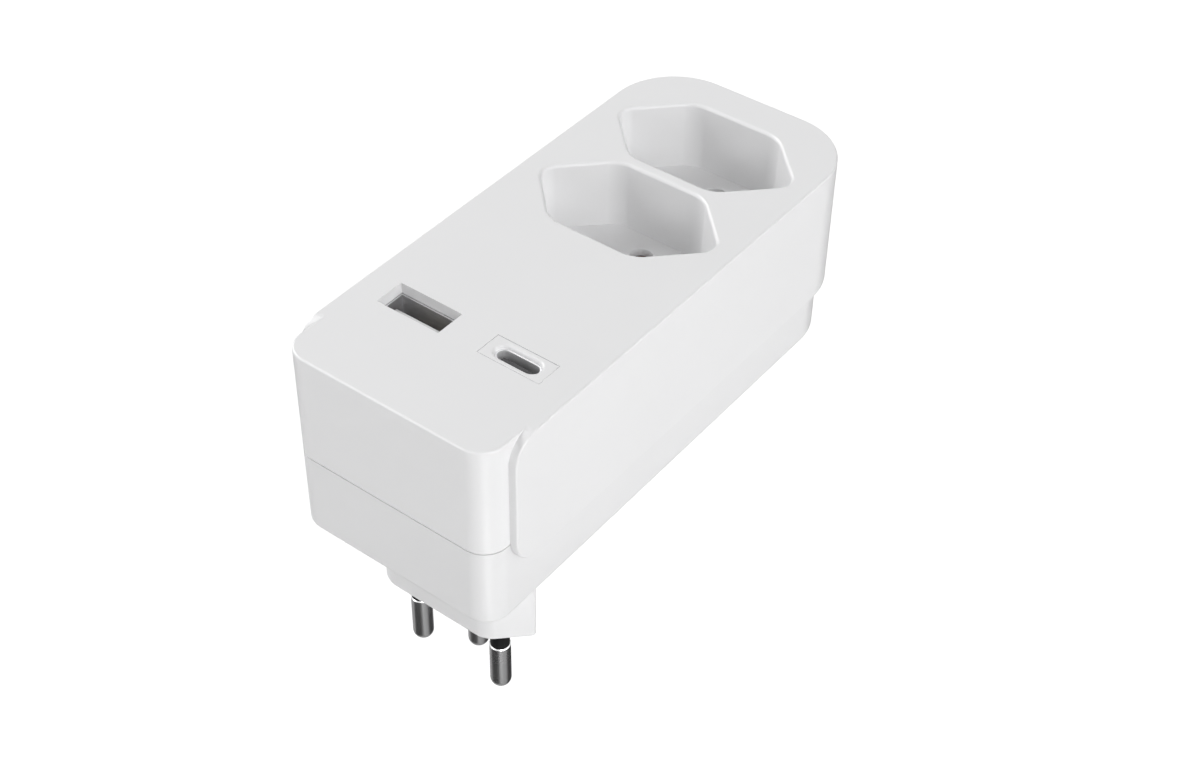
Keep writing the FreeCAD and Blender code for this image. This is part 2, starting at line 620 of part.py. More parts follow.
def build_base():
    body = new_body("base_body")
    sketch = new_sketch(body, "base_outline", at=underside)
    rounds = [d.front_round, d.front_round, d.far_round, d.far_round]
    rounded_rectangle(sketch, -half_body, half_body, front, body_far, rounds)
    pad(body, sketch, "base_block", d.base_height)

    def lower_edge(edge):
        return flat_at(edge, underside.value)
    edge_feature(body, "Fillet", "lower_edge", d.bottom_round, lower_edge)

    # Joint line that stays open all round the rim
    sketch = new_sketch(body, "parting_outline", at=parting)
    inset = [width - d.parting_depth for width in rounds]
    rounded_rectangle(sketch, -half_body - d.shell_wall, half_body + d.shell_wall, front - d.shell_wall,
                      body_far + d.shell_wall, rounds)
    rounded_rectangle(sketch, -half_body + d.parting_depth, half_body - d.parting_depth,
                      front + d.parting_depth, body_far - d.parting_depth, inset)
    pocket(body, sketch, "parting_line", d.parting_gap)

    # Plug boss below the block
    sketch = new_sketch(body, "boss_outline")
    hexagon(sketch, 0, d.boss_front, d.boss_back, boss_reach)
    pad(body, sketch, "boss", d.boss_height)

    def boss_corner(edge):
        side = upright(edge, low=0.0, high=underside.value)
        return side and abs(edge.CenterOfMass.y) > d.boss_front.value - 0.1
    edge_feature(body, "Fillet", "boss_corners", d.boss_round, boss_corner)

    def boss_tip(edge):
        return upright(edge, y=0.0, low=0.0, high=underside.value)
    edge_feature(body, "Fillet", "boss_tips", d.boss_tip_round, boss_tip)

    def boss_rim(edge):
        return flat_at(edge, 0.0)
    edge_feature(body, "Fillet", "boss_rim", d.boss_edge, boss_rim)

    # Locating lip on the rim, then the hollow through it
    inner_front = d.front_round - d.shell_wall
    inner_far = d.far_round - d.shell_wall
    inner_low = front + d.shell_wall
    inner_high = body_far - d.shell_wall
    lip = d.lip_wall
    half_lip = half_inside + lip
    rounds = [inner_front + lip, inner_front + lip, inner_far + lip, inner_far + lip]
    sketch = new_sketch(body, "lip_outline", at=parting)
    rounded_rectangle(sketch, -half_lip, half_lip, inner_low - lip, inner_high + lip, rounds)
    pad(body, sketch, "lip", d.lip_height)
    rounds = [inner_front, inner_front, inner_far, inner_far]
    sketch = new_sketch(body, "base_hollow_outline", at=parting + d.lip_height)
    rounded_rectangle(sketch, -half_inside, half_inside, inner_low, inner_high, rounds)
    pocket(body, sketch, "base_hollow", parting + d.lip_height - inside_floor)
    sketch = new_sketch(body, "boss_hollow_outline", at=inside_floor)
    hexagon(sketch, 0, d.boss_front, d.boss_back, boss_reach, -d.boss_wall)
    pocket(body, sketch, "boss_hollow", inside_floor - d.boss_floor)

    # Pin holes through the boss face
    sketch = new_sketch(body, "pin_hole_outline", at=d.boss_floor)
    circle(sketch, -half_pins, 0, d.sleeve_stem + d.pin_hole_gap)
    circle(sketch, half_pins, 0, d.sleeve_stem + d.pin_hole_gap)
    circle(sketch, 0, d.earth_offset, d.stem_radius + d.pin_hole_gap)
    pocket(body, sketch, "pin_holes", d.boss_floor)

    def live_hole(edge):
        return isinstance(edge.Curve, Part.Circle) and flat_at(edge, 0.0) and near(
            edge.Curve.Radius, (d.sleeve_stem + d.pin_hole_gap).value)

    def earth_hole(edge):
        return isinstance(edge.Curve, Part.Circle) and flat_at(edge, 0.0) and near(
            edge.Curve.Radius, (d.stem_radius + d.pin_hole_gap).value)
    edge_feature(body, "Chamfer", "live_hole_leads", d.neck_radius - d.sleeve_stem, live_hole)
    edge_feature(body, "Chamfer", "earth_hole_lead", d.pin_radius - d.stem_radius, earth_hole)

    # Screw columns with deep counterbores, and the studs under the board
    sketch = new_sketch(body, "column_outline", at=inside_floor)
    for x, y in screw_places:
        circle(sketch, x, y, column_radius)
    pad(body, sketch, "screw_columns", parting - inside_floor)
    sketch = new_sketch(body, "stud_outline", at=inside_floor)
    for x, y in stud_places:
        circle(sketch, x, y, d.stud_radius)
    pad(body, sketch, "board_studs", board_bottom - inside_floor)
    sketch = new_sketch(body, "counterbore_outline", at=head_seat)
    for x, y in screw_places:
        circle(sketch, x, y, d.head_radius + d.screw_gap * 4)
    pocket(body, sketch, "counterbores", head_seat - underside)
    sketch = new_sketch(body, "shank_outline", at=parting)
    for x, y in screw_places:
        circle(sketch, x, y, d.screw_radius + d.screw_gap)
    pocket(body, sketch, "shank_holes", parting - head_seat)
    return keep(body, "base_shell")


def build_pin(label, x, y, neck):
    # A turned pin: round tip, shoulder, stem through the boss face and riveted head over the busbar
    body = new_body(label + "_body")
    sketch = new_sketch(body, label + "_profile", role="XZ_Plane")
    stem = d.core_radius if neck else d.stem_radius
    points = [(0, -d.pin_length), (d.pin_radius, -d.pin_length)]
    if neck:
        points.append((d.pin_radius, -d.neck_length - d.neck_shoulder))
        points.append((d.neck_radius, -d.neck_length))
        points.append((stem, -d.neck_length))
    else:
        points.append((d.pin_radius, zero))
        points.append((stem, zero))
        points.append((stem, d.boss_floor))
        points.append((d.core_radius, d.boss_floor))
    points.append((d.core_radius, foot_top))
    points.append((d.rivet_radius, foot_top))
    points.append((d.rivet_radius, foot_top + d.rivet_height))
    points.append((0, foot_top + d.rivet_height))
    polygon(sketch, points)
    revolve(body, sketch, label + "_turned")

    def tip_edge(edge):
        return flat_at(edge, -d.pin_length.value)

    def head_edge(edge):
        return flat_at(edge, (foot_top + d.rivet_height).value)
    edge_feature(body, "Fillet", label + "_tip", d.tip_round, tip_edge)
    edge_feature(body, "Fillet", label + "_head", d.rivet_height / 2, head_edge)
    bind(body, "Placement.Base.x", x)
    bind(body, "Placement.Base.y", y)
    return keep(body, label)


def build_sleeve(label, x):
    body = new_body(label + "_body")
    sketch = new_sketch(body, label + "_ring", at=-d.neck_length)
    circle(sketch, 0, 0, d.neck_radius)
    circle(sketch, 0, 0, d.core_radius)
    pad(body, sketch, label + "_tube", d.neck_length)
    sketch = new_sketch(body, label + "_stem_ring")
    circle(sketch, 0, 0, d.sleeve_stem)
    circle(sketch, 0, 0, d.core_radius)
    pad(body, sketch, label + "_stem", d.boss_floor)
    bind(body, "Placement.Base.x", x)
    return keep(body, label)


def build_busbar(label, x, pin_y, contact_ys, riser_behind):
    # One bent strip: a foot under the pin's riveted head, a riser and a long run with two contact tubes
    body = new_body(label + "_body")
    end = contact_ys[-1] + d.strip_tail
    thick = d.strip_thick
    if riser_behind:
        inner = sized(pin_y) + d.strip_riser
        outer = inner + thick
        start = sized(pin_y) - d.strip_foot
        points = [(start, d.boss_floor), (outer, d.boss_floor), (outer, strip_bottom), (end, strip_bottom)]
        points += [(end, strip_top), (inner, strip_top), (inner, foot_top), (start, foot_top)]
        inside_bends = [(inner, foot_top), (outer, strip_bottom)]
        outside_bends = [(outer, d.boss_floor), (inner, strip_top)]
    else:
        inner = sized(pin_y) - d.strip_riser
        outer = inner - thick
        start = sized(pin_y) + d.strip_foot
        points = [(outer, d.boss_floor), (start, d.boss_floor), (start, foot_top), (inner, foot_top)]
        points += [(inner, strip_bottom), (end, strip_bottom), (end, strip_top), (outer, strip_top)]
        inside_bends = [(inner, foot_top), (inner, strip_bottom)]
        outside_bends = [(outer, d.boss_floor), (outer, strip_top)]
    sketch = new_sketch(body, label + "_profile", role="YZ_Plane")
    polygon(sketch, points)
    pad(body, sketch, label + "_strip", d.strip_width, mid=True)

    def bend_picker(places):
        def picked(edge):
            middle = edge.CenterOfMass
            across = near(edge.BoundBox.XLength, d.strip_width.value)
            return across and any(near(middle.y, y.value) and near(middle.z, z.value) for y, z in places)
        return picked
    edge_feature(body, "Fillet", label + "_inside_bends", d.strip_bend, bend_picker(inside_bends))
    edge_feature(body, "Fillet", label + "_outside_bends", d.strip_bend + thick, bend_picker(outside_bends))
    sketch = new_sketch(body, label + "_seat_outline", at=strip_bottom)
    for y in contact_ys:
        circle(sketch, 0, y, tube_outer)
    pad(body, sketch, label + "_tube_seats", thick)
    sketch = new_sketch(body, label + "_tube_outline", at=strip_top)
    for y in contact_ys:
        circle(sketch, 0, y, tube_outer)
        circle(sketch, 0, y, d.tube_radius)
    tube_height = cup_bottom - d.tube_gap - strip_top
    pad(body, sketch, label + "_tubes", tube_height)
    sketch = new_sketch(body, label + "_slit_outline", at=cup_bottom - d.tube_gap)
    for y in contact_ys:
        centred_rectangle(sketch, 0, y, tube_outer * 2.2, d.slit_width)
    pocket(body, sketch, label + "_slits", d.slit_depth)
    sketch = new_sketch(body, label + "_foot_hole", at=foot_top)
    circle(sketch, 0, pin_y, d.core_radius + d.pin_hole_gap)
    pocket(body, sketch, label + "_pin_hole", thick)
    bind(body, "Placement.Base.x", x)
    return keep(body, label)


def build_carrier():
    # Insulating block that beds the three busbars under the sockets
    body = new_body("carrier_body")
    plate_top = strip_top + d.carrier_lip
    sketch = new_sketch(body, "carrier_outline", at=inside_floor)
    half_wide = half_pins + tube_outer + d.carrier_side
    near_end = socket_places[0] - d.carrier_front
    back = screw_far_y - column_radius - d.groove_gap * 4
    rectangle(sketch, -half_wide, half_wide, near_end, back)
    pad(body, sketch, "carrier_block", plate_top - inside_floor)
    half_groove = d.strip_width / 2 + d.groove_gap
    sketch = new_sketch(body, "groove_outline", at=plate_top)
    for x in (-half_pins, zero, half_pins):
        rectangle(sketch, x - half_groove, x + half_groove, near_end - 1, back + 1)
    pocket(body, sketch, "grooves", plate_top - strip_bottom)
    for i, place in enumerate(socket_places):
        sketch = new_sketch(body, "well_outline_%d" % (i + 1), at=plate_top)
        circle(sketch, -half_pins, place, tube_outer + d.groove_gap)
        circle(sketch, half_pins, place, tube_outer + d.groove_gap)
        circle(sketch, 0, place + d.earth_offset, tube_outer + d.groove_gap)
        pocket(body, sketch, "wells_%d" % (i + 1), plate_top - strip_bottom)
    return keep(body, "contact_carrier")


def cylinder(name, x, y, z, radius, length):
    thing = doc.addObject("Part::Cylinder", name)
    bind(thing, "Radius", radius)
    bind(thing, "Height", length)
    bind(thing, "Placement.Base.x", x)
    bind(thing, "Placement.Base.y", y)
    bind(thing, "Placement.Base.z", z)
    return thing


def box(name, x, y, z, wide, deep, tall):
    # x and y are the middle of the box, z its underside
    thing = doc.addObject("Part::Box", name)
    bind(thing, "Length", wide)
    bind(thing, "Width", deep)
    bind(thing, "Height", tall)
    bind(thing, "Placement.Base.x", sized(x) - sized(wide) / 2)
    bind(thing, "Placement.Base.y", sized(y) - sized(deep) / 2)
    bind(thing, "Placement.Base.z", z)
    return thing


def build_screws():
    metal = []
    crosses = []
    head_bottom = head_seat - d.head_height
    arm = d.head_radius * 1.1
    for i, (x, y) in enumerate(screw_places):
        tag = "_%d" % (i + 1)
        metal.append(cylinder("screw_head" + tag, x, y, head_bottom, d.head_radius, d.head_height))
        length = parting + d.screw_grip - head_seat
        metal.append(cylinder("screw_shank" + tag, x, y, head_seat, d.screw_radius, length))
        deep = d.head_height * 0.6
        crosses.append(box("cross_x" + tag, x, y, head_bottom, arm, d.cross_width, deep))
        crosses.append(box("cross_y" + tag, x, y, head_bottom, d.cross_width, arm, deep))
    solid = doc.addObject("Part::MultiFuse", "screw_metal")
    solid.Shapes = metal
    cross = doc.addObject("Part::MultiFuse", "screw_crosses")
    cross.Shapes = crosses
    screws = doc.addObject("Part::Cut", "screw_group")
    screws.Base = solid
    screws.Tool = cross
    return keep(screws, "housing_screws")


def build_board():
    body = new_body("board_body")
    sketch = new_sketch(body, "board_outline", at=board_bottom)
    rounds = [d.board_thick] * 4
    rounded_rectangle(sketch, -half_board, half_board, -d.board_front, board_back, rounds)
    pad(body, sketch, "board", d.board_thick)
    return keep(body, "usb_board")


def build_wide_port():
    x = -port_x
    outer_wide = d.port_a_width + d.can_wall * 2
    outer_high = d.port_a_height + d.can_wall * 2
    body = new_body("wide_can_body")
    sketch = new_sketch(body, "wide_can_outline", at=board_top)
    centred_rectangle(sketch, x, d.usb_y, outer_wide, outer_high)
    centred_rectangle(sketch, x, d.usb_y, d.port_a_width, d.port_a_height)
    pad(body, sketch, "wide_can", d.board_drop)
    keep(body, "usb_a_shell")

    body = new_body("wide_tongue_body")
    sketch = new_sketch(body, "wide_plug_outline", at=board_top)
    centred_rectangle(sketch, x, d.usb_y, d.port_a_width, d.port_a_height)
    pad(body, sketch, "wide_plug", d.tongue_base)
    low = d.usb_y - d.port_a_height / 2 + d.tongue_gap
    high = low + d.tongue_thick
    tip = top - d.tongue_depth
    sketch = new_sketch(body, "wide_tongue_outline", at=board_top + d.tongue_base)
    rectangle(sketch, x - d.tongue_width / 2, x + d.tongue_width / 2, low, high)
    pad(body, sketch, "wide_tongue", tip - board_top - d.tongue_base)

    def tongue_rim(edge):
        return flat_at(edge, tip.value)
    edge_feature(body, "Chamfer", "wide_tongue_lead", d.tongue_thick / 6, tongue_rim)
    keep(body, "usb_a_tongue")
    for i in range(4):
        label = "usb_a_contact_%d" % (i + 1)
        length = tip - d.contact_back - board_top - d.tongue_base
        place = x + d.contact_pitch * (i - 1.5)
        blade = box(label, place, high + d.contact_thick / 2, board_top + d.tongue_base, d.contact_width,
                    d.contact_thick, length)
        keep(blade, label)


def build_slim_port():
    x = port_x
    outer_wide = d.port_c_width + d.can_wall * 2
    outer_high = d.port_c_height + d.can_wall * 2
    mouth = top - d.port_c_sink
    body = new_body("slim_can_body")
    sketch = new_sketch(body, "slim_can_outline", at=board_top)
    stadium(sketch, x, d.usb_y, outer_wide, outer_high)
    pad(body, sketch, "slim_can", mouth - board_top)
    sketch = new_sketch(body, "slim_can_inside", at=mouth)
    stadium(sketch, x, d.usb_y, d.port_c_width, d.port_c_height)
    pocket(body, sketch, "slim_can_hollow", mouth - board_top)
    keep(body, "usb_c_shell")

    body = new_body("slim_tongue_body")
    sketch = new_sketch(body, "slim_plug_outline", at=board_top)
    stadium(sketch, x, d.usb_y, d.port_c_width, d.port_c_height)
    pad(body, sketch, "slim_plug", d.tongue_base)
    sketch = new_sketch(body, "slim_tongue_outline", at=board_top + d.tongue_base)
    centred_rectangle(sketch, x, d.usb_y, d.blade_width, d.blade_thick)
    pad(body, sketch, "slim_tongue", mouth - d.blade_sink - board_top - d.tongue_base)
    keep(body, "usb_c_tongue")

    # Moulded insert that fills the window in the cover, with its flange under the roof
    body = new_body("insert_body")
    flange_bottom = roof_under - d.insert_flange_height
    sketch = new_sketch(body, "flange_outline", at=flange_bottom)
    centred_rectangle(sketch, x, d.usb_y, d.insert_width + d.insert_flange * 2,
                      d.insert_height + d.insert_flange * 2)
    pad(body, sketch, "insert_flange", d.insert_flange_height)
    sketch = new_sketch(body, "insert_outline", at=roof_under)
    centred_rectangle(sketch, x, d.usb_y, d.insert_width, d.insert_height)
    pad(body, sketch, "insert_face", d.roof)
    sketch = new_sketch(body, "slot_outline", at=top)
    stadium(sketch, x, d.usb_y, d.slot_width, d.slot_height)
    pocket(body, sketch, "slot", d.roof + d.insert_flange_height)

    def slot_rim(edge):
        box = edge.BoundBox
        short = abs(edge.CenterOfMass.y - d.usb_y.value) < d.insert_height.value / 2 - 0.3
        narrow = box.XMax - x.value < d.insert_width.value / 2 - 0.3
        return flat_at(edge, top.value) and short and narrow
    edge_feature(body, "Fillet", "slot_lead", d.slot_round, slot_rim)
    keep(body, "usb_c_insert")


def build_transformer():
    core_bottom = board_bottom - d.core_height
    half_wide = core_width / 2
    half_middle = core_middle / 2
    window_out = half_wide - core_leg
    body = new_body("core_body")
    sketch = new_sketch(body, "core_outline", role="XZ_Plane", at=-transformer_y)
    rectangle(sketch, -half_wide, half_wide, core_bottom, board_bottom)
    low = core_bottom + core_leg
    high = board_bottom - core_leg
    rectangle(sketch, -window_out, -half_middle, low, high)
    rectangle(sketch, half_middle, window_out, low, high)
    pad(body, sketch, "core", core_depth, mid=True)
    keep(body, "transformer_core")
    body = new_body("winding_body")
    sketch = new_sketch(body, "winding_outline", at=low)
    rounds = [core_leg] * 4
    reach = window_out
    rounded_rectangle(sketch, -reach, reach, transformer_y - winding_reach,
                      transformer_y + winding_reach, rounds)
    centred_rectangle(sketch, 0, transformer_y, core_middle, core_depth)
    pad(body, sketch, "winding", high - low)
    return keep(body, "transformer_winding")


def build_can(label, x, y, radius, height):
    # Electrolytic can that hangs under the board, with a crimp groove near its rubber end
    body = new_body(label + "_body")
    sketch = new_sketch(body, label + "_profile", role="XZ_Plane")
    low = board_bottom - height
    waist = board_bottom - height / 6
    notch = radius / 12
    points = [(0, low), (radius, low), (radius, waist - notch * 2), (radius - notch, waist - notch)]
    points += [(radius - notch, waist + notch), (radius, waist + notch * 2), (radius, board_bottom)]
    points.append((0, board_bottom))
    polygon(sketch, points)
    revolve(body, sketch, label + "_can")

    def end_edge(edge):
        return flat_at(edge, low.value)
    edge_feature(body, "Fillet", label + "_end", notch, end_edge)
    bind(body, "Placement.Base.x", x)
    bind(body, "Placement.Base.y", y)
    return keep(body, label)


def build_disc():
    body = new_body("disc_body")
    middle = board_bottom - d.leg_height - disc_radius
    sketch = new_sketch(body, "disc_outline", role="YZ_Plane", at=can_x)
    circle(sketch, disc_y, middle, disc_radius)
    pad(body, sketch, "disc", d.disc_thick, mid=True)

    def disc_edge(edge):
        return near(edge.BoundBox.XLength, 0.0) and edge.BoundBox.YLength > disc_radius.value
    edge_feature(body, "Fillet", "disc_edges", d.disc_thick / 3, disc_edge)
    sketch = new_sketch(body, "disc_leg_outline", at=middle)
    for side in (-1, 1):
        circle(sketch, can_x, disc_y + disc_radius * 0.7 * side, d.wire_radius)
    pad(body, sketch, "disc_legs", board_bottom - middle)
    return keep(body, "suppression_capacitor")


def build_resistor():
    body = new_body("resistor_body")
    level = board_bottom - d.leg_height - d.resistor_radius
    sketch = new_sketch(body, "resistor_outline", role="YZ_Plane", at=-d.resistor_x)
    circle(sketch, row_y, level, d.resistor_radius)
    pad(body, sketch, "resistor", d.resistor_length, mid=True)

    def end_edge(edge):
        return near(edge.BoundBox.XLength, 0.0) and edge.BoundBox.YLength > d.resistor_radius.value
    edge_feature(body, "Fillet", "resistor_ends", d.resistor_radius / 3, end_edge)
    sketch = new_sketch(body, "wire_outline", role="YZ_Plane", at=-d.resistor_x)
    circle(sketch, row_y, level, d.wire_radius)
    pad(body, sketch, "wire", d.resistor_length + d.wire_reach * 2, mid=True)
    sketch = new_sketch(body, "resistor_leg_outline", at=level - d.wire_radius)
    for side in (-1, 1):
        x = (d.resistor_length / 2 + d.wire_reach - d.wire_radius) * side - d.resistor_x
        circle(sketch, x, row_y, d.wire_radius)
    pad(body, sketch, "resistor_legs", board_bottom - level + d.wire_radius)
    return keep(body, "fusible_resistor")


def build_chip(label, x, y, wide, deep, height, pairs, below):
    # A moulded package with flat legs along two sides, above or below the board
    body = new_body(label + "_body")
    low = board_bottom - height if below else board_top
    sketch = new_sketch(body, label + "_outline", at=low)
    centred_rectangle(sketch, x, y, wide, deep)
    pad(body, sketch, label + "_package", height)
    leg = d.chip_leg
    foot = board_bottom - leg if below else board_top
    sketch = new_sketch(body, label + "_leg_outline", at=foot)
    for i in range(pairs):
        place = sized(x) + wide * ((i + 0.5) / pairs - 0.5)
        rectangle(sketch, place - leg / 2, place + leg / 2, sized(y) - deep / 2 - leg * 2,
                  sized(y) + deep / 2 + leg * 2)
    pad(body, sketch, label + "_legs", leg)
    return keep(body, label)


def build_lead(label, side):
    # Insulated wire from a live busbar up to the board, with a sideways bend
    body = new_body(label + "_body")
    low_x = half_pins * side
    high_x = lead_top_x * side
    rise = board_bottom - strip_top
    path = new_sketch(body, label + "_path", role="XZ_Plane", at=-lead_y)
    spots = [(low_x, strip_top), (low_x, strip_top + rise / 3), (high_x, board_bottom - rise / 3)]
    spots.append((high_x, board_bottom))
    spots = [(sized(x), z) for x, z in spots]
    for i in range(3):
        begin = FreeCAD.Vector(spots[i][0].value, spots[i][1].value, 0)
        end = FreeCAD.Vector(spots[i + 1][0].value, spots[i + 1][1].value, 0)
        path.addGeometry(Part.LineSegment(begin, end), False)
        place_point(path, i, 1, spots[i][0], spots[i][1])
        if i:
            path.addConstraint(Sketcher.Constraint("Coincident", i - 1, 2, i, 1))
    place_point(path, 2, 2, spots[3][0], spots[3][1])
    outline = new_sketch(body, label + "_outline", at=strip_top)
    circle(outline, low_x, lead_y, d.lead_radius)
    pipe = body.newObject("PartDesign::AdditivePipe", label + "_pipe")
    pipe.Profile = outline
    pipe.Spine = (path, ["Edge1", "Edge2", "Edge3"])
    pipe.Transition = 1
    path.Visibility = False
    outline.Visibility = False
    return keep(body, label)


build_cover()
build_base()
build_carrier()
earth_places = [place + d.earth_offset for place in socket_places]
build_busbar("line_busbar", -half_pins, 0, socket_places, True)
build_busbar("neutral_busbar", half_pins, 0, socket_places, True)
build_busbar("earth_busbar", zero, d.earth_offset, earth_places, False)
build_pin("line_pin", -half_pins, 0, True)
build_pin("neutral_pin", half_pins, 0, True)
build_pin("earth_pin", zero, d.earth_offset, False)
build_sleeve("line_pin_sleeve", -half_pins)
build_sleeve("neutral_pin_sleeve", half_pins)
build_screws()
build_board()
build_wide_port()
build_slim_port()
build_transformer()
build_can("input_capacitor_1", -can_x, along(d.can_a_share), can_radius, d.can_height)
build_can("input_capacitor_2", -can_x, along(d.can_b_share), can_radius, d.can_height)
small_radius = board_length * d.small_can_share
build_can("output_capacitor", can_x, along(d.output_share), small_radius, d.small_can_height)
build_disc()
build_resistor()
bridge_depth = board_length * d.bridge_share
build_chip("bridge_rectifier", d.resistor_x, row_y, d.bridge_width, bridge_depth, d.bridge_height, 2, True)
build_chip("controller_chip", zero, along(d.chip_share), d.chip_width, d.chip_depth, d.chip_height, 4, False)
build_lead("line_lead", -1)
build_lead("neutral_lead", 1)
doc.recompute()

for thing in doc.Objects:
    if "Invalid" in thing.State or "Error" in thing.State:
        raise RuntimeError("%s failed: %s" % (thing.Name, thing.State))
for thing in nodes:
    if thing.Shape.isNull() or not thing.Shape.isValid():
        raise RuntimeError("bad shape: " + thing.Label)
for thing in nodes:
    thing.Shape.exportStep("parts/%s.step" % thing.Label)
print("wrote", len(nodes), "parts")
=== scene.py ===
import json
import math

import bmesh
import bpy
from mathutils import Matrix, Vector


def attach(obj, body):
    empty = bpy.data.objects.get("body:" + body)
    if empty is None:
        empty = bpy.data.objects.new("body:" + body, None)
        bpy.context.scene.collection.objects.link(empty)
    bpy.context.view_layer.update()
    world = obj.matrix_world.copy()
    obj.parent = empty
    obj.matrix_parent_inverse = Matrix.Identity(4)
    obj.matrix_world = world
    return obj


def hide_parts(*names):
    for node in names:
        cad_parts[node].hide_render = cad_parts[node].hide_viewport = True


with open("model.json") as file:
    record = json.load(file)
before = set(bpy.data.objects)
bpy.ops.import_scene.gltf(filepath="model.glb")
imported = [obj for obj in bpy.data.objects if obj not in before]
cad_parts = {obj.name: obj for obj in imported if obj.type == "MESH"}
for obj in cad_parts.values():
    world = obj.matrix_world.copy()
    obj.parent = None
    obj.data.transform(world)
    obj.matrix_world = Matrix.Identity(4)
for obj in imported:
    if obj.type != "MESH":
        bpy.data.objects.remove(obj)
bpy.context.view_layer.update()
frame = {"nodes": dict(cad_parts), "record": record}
mm = 0.001
slack = 0.02  # mm, for picking edges and faces by their place
ringSlack = 0.03


def clearSelection():
    if bpy.context.object is not None and bpy.context.object.mode != "OBJECT":
        bpy.ops.object.mode_set(mode="OBJECT")
    bpy.ops.object.select_all(action="DESELECT")


def workOn(piece):
    clearSelection()
    piece.select_set(True)
    bpy.context.view_layer.objects.active = piece


def settle(piece, name):
    # size and place go into the mesh, so the object stays at the origin
    piece.name = name
    workOn(piece)
    bpy.ops.object.transform_apply(location=True, rotation=True, scale=True)
    return piece


def addBlock(name, low, high):
    clearSelection()
    middle = [(a + b) / 2 * mm for a, b in zip(low, high)]
    size = [(b - a) * mm for a, b in zip(low, high)]
    bpy.ops.mesh.primitive_cube_add(size=1, location=middle, scale=size)
    return settle(bpy.context.object, name)


def addRound(name, x, y, low, high, radius, sides=48):
    clearSelection()
    place = (x * mm, y * mm, (low + high) / 2 * mm)
    bpy.ops.mesh.primitive_cylinder_add(vertices=sides, radius=radius * mm,
                                        depth=(high - low) * mm, location=place)
    return settle(bpy.context.object, name)


def addRounds(name, places, low, high, radius, sides):
    return [addRound(name, x, y, low, high, radius, sides) for x, y in places]


def startPicking(piece, kind):
    workOn(piece)
    bpy.ops.object.mode_set(mode="EDIT")
    bpy.ops.mesh.select_mode(type=kind)
    bpy.ops.mesh.select_all(action="DESELECT")
    return bmesh.from_edit_mesh(piece.data)


def pickEdges(piece, wanted):
    # wanted gets both ends of an edge in mm
    shape = startPicking(piece, "EDGE")
    for edge in shape.edges:
        edge.select_set(wanted(edge.verts[0].co / mm, edge.verts[1].co / mm))
    bmesh.update_edit_mesh(piece.data)


def pickFaces(piece, wanted):
    # wanted gets the middle of a face in mm and its normal
    shape = startPicking(piece, "FACE")
    for face in shape.faces:
        face.select_set(wanted(face.calc_center_median() / mm, face.normal))
    bmesh.update_edit_mesh(piece.data)


def roundEdges(piece, size, steps, wanted):
    pickEdges(piece, wanted)
    bpy.ops.mesh.bevel(offset=size * mm, offset_type="OFFSET", segments=steps, profile=0.5,
                       affect="EDGES", clamp_overlap=False)
    bpy.ops.object.mode_set(mode="OBJECT")


def atLevel(a, b, axis, level):
    return abs(a[axis] - level) < slack and abs(b[axis] - level) < slack


def isUpright(a, b):
    return abs(a.x - b.x) < slack and abs(a.y - b.y) < slack


def holeEdges(places, radius, level):
    # picks the round edges at one level of the holes at these places
    def wanted(a, b):
        return atLevel(a, b, 2, level) and any(
            all(abs(math.hypot(end.x - x, end.y - y) - radius) < ringSlack for end in (a, b))
            for x, y in places)
    return wanted


def combine(piece, tools, operation):
    for tool in tools:
        workOn(piece)
        join = piece.modifiers.new("join", "BOOLEAN")
        join.operation = operation
        join.solver = "EXACT"
        join.object = tool
        bpy.ops.object.modifier_apply(modifier=join.name)
        bpy.data.objects.remove(tool)
    return piece


def tidyMesh(piece):
    workOn(piece)
    bpy.ops.object.mode_set(mode="EDIT")
    bpy.ops.mesh.select_all(action="SELECT")
    bpy.ops.mesh.remove_doubles(threshold=0.003 * mm)
    bpy.ops.mesh.dissolve_limited(angle_limit=math.radians(0.3))
    bpy.ops.object.mode_set(mode="OBJECT")


def smoothSurfaces(piece, angle=32):
    tidyMesh(piece)
    bpy.ops.object.shade_smooth_by_angle(angle=math.radians(angle), keep_sharp_edges=False)
    even = piece.modifiers.new("even", "WEIGHTED_NORMAL")
    even.keep_sharp = True
    even.weight = 60
    bpy.ops.object.modifier_apply(modifier=even.name)
    return piece


def cutCorner(piece, point, away):
    # takes off what lies beyond a slanted plane and closes the cut
    workOn(piece)
    bpy.ops.object.mode_set(mode="EDIT")
    bpy.ops.mesh.select_all(action="SELECT")
    place = [value * mm for value in point]
    bpy.ops.mesh.bisect(plane_co=place, plane_no=away, use_fill=True,
                        clear_outer=True, clear_inner=False)
    bpy.ops.object.mode_set(mode="OBJECT")


def pointEnds(piece, tip, y, level):
    # cuts a block's four corners at 45 degrees, so its ends meet on the X axis
    for side in (-1, 1):
        for way in (-1, 1):
            cutCorner(piece, (side * tip, y, level), (side, way, 0))
    return piece


def addHexagon(name, y, front, back, reach, low, high):
    piece = addBlock(name, (-reach, y - front, low), (reach, y + back, high))
    return pointEnds(piece, reach, y, low)


def roundedBlock(name, half, front, far, low, high, frontRound, farRound, steps=12):
    piece = addBlock(name, (-half, front, low), (half, far, high))
    if frontRound:
        roundEdges(piece, frontRound, steps,
                   lambda a, b: isUpright(a, b) and abs(a.y - front) < slack)
    if farRound:
        roundEdges(piece, farRound, steps * 2,
                   lambda a, b: isUpright(a, b) and abs(a.y - far) < slack)
    return piece


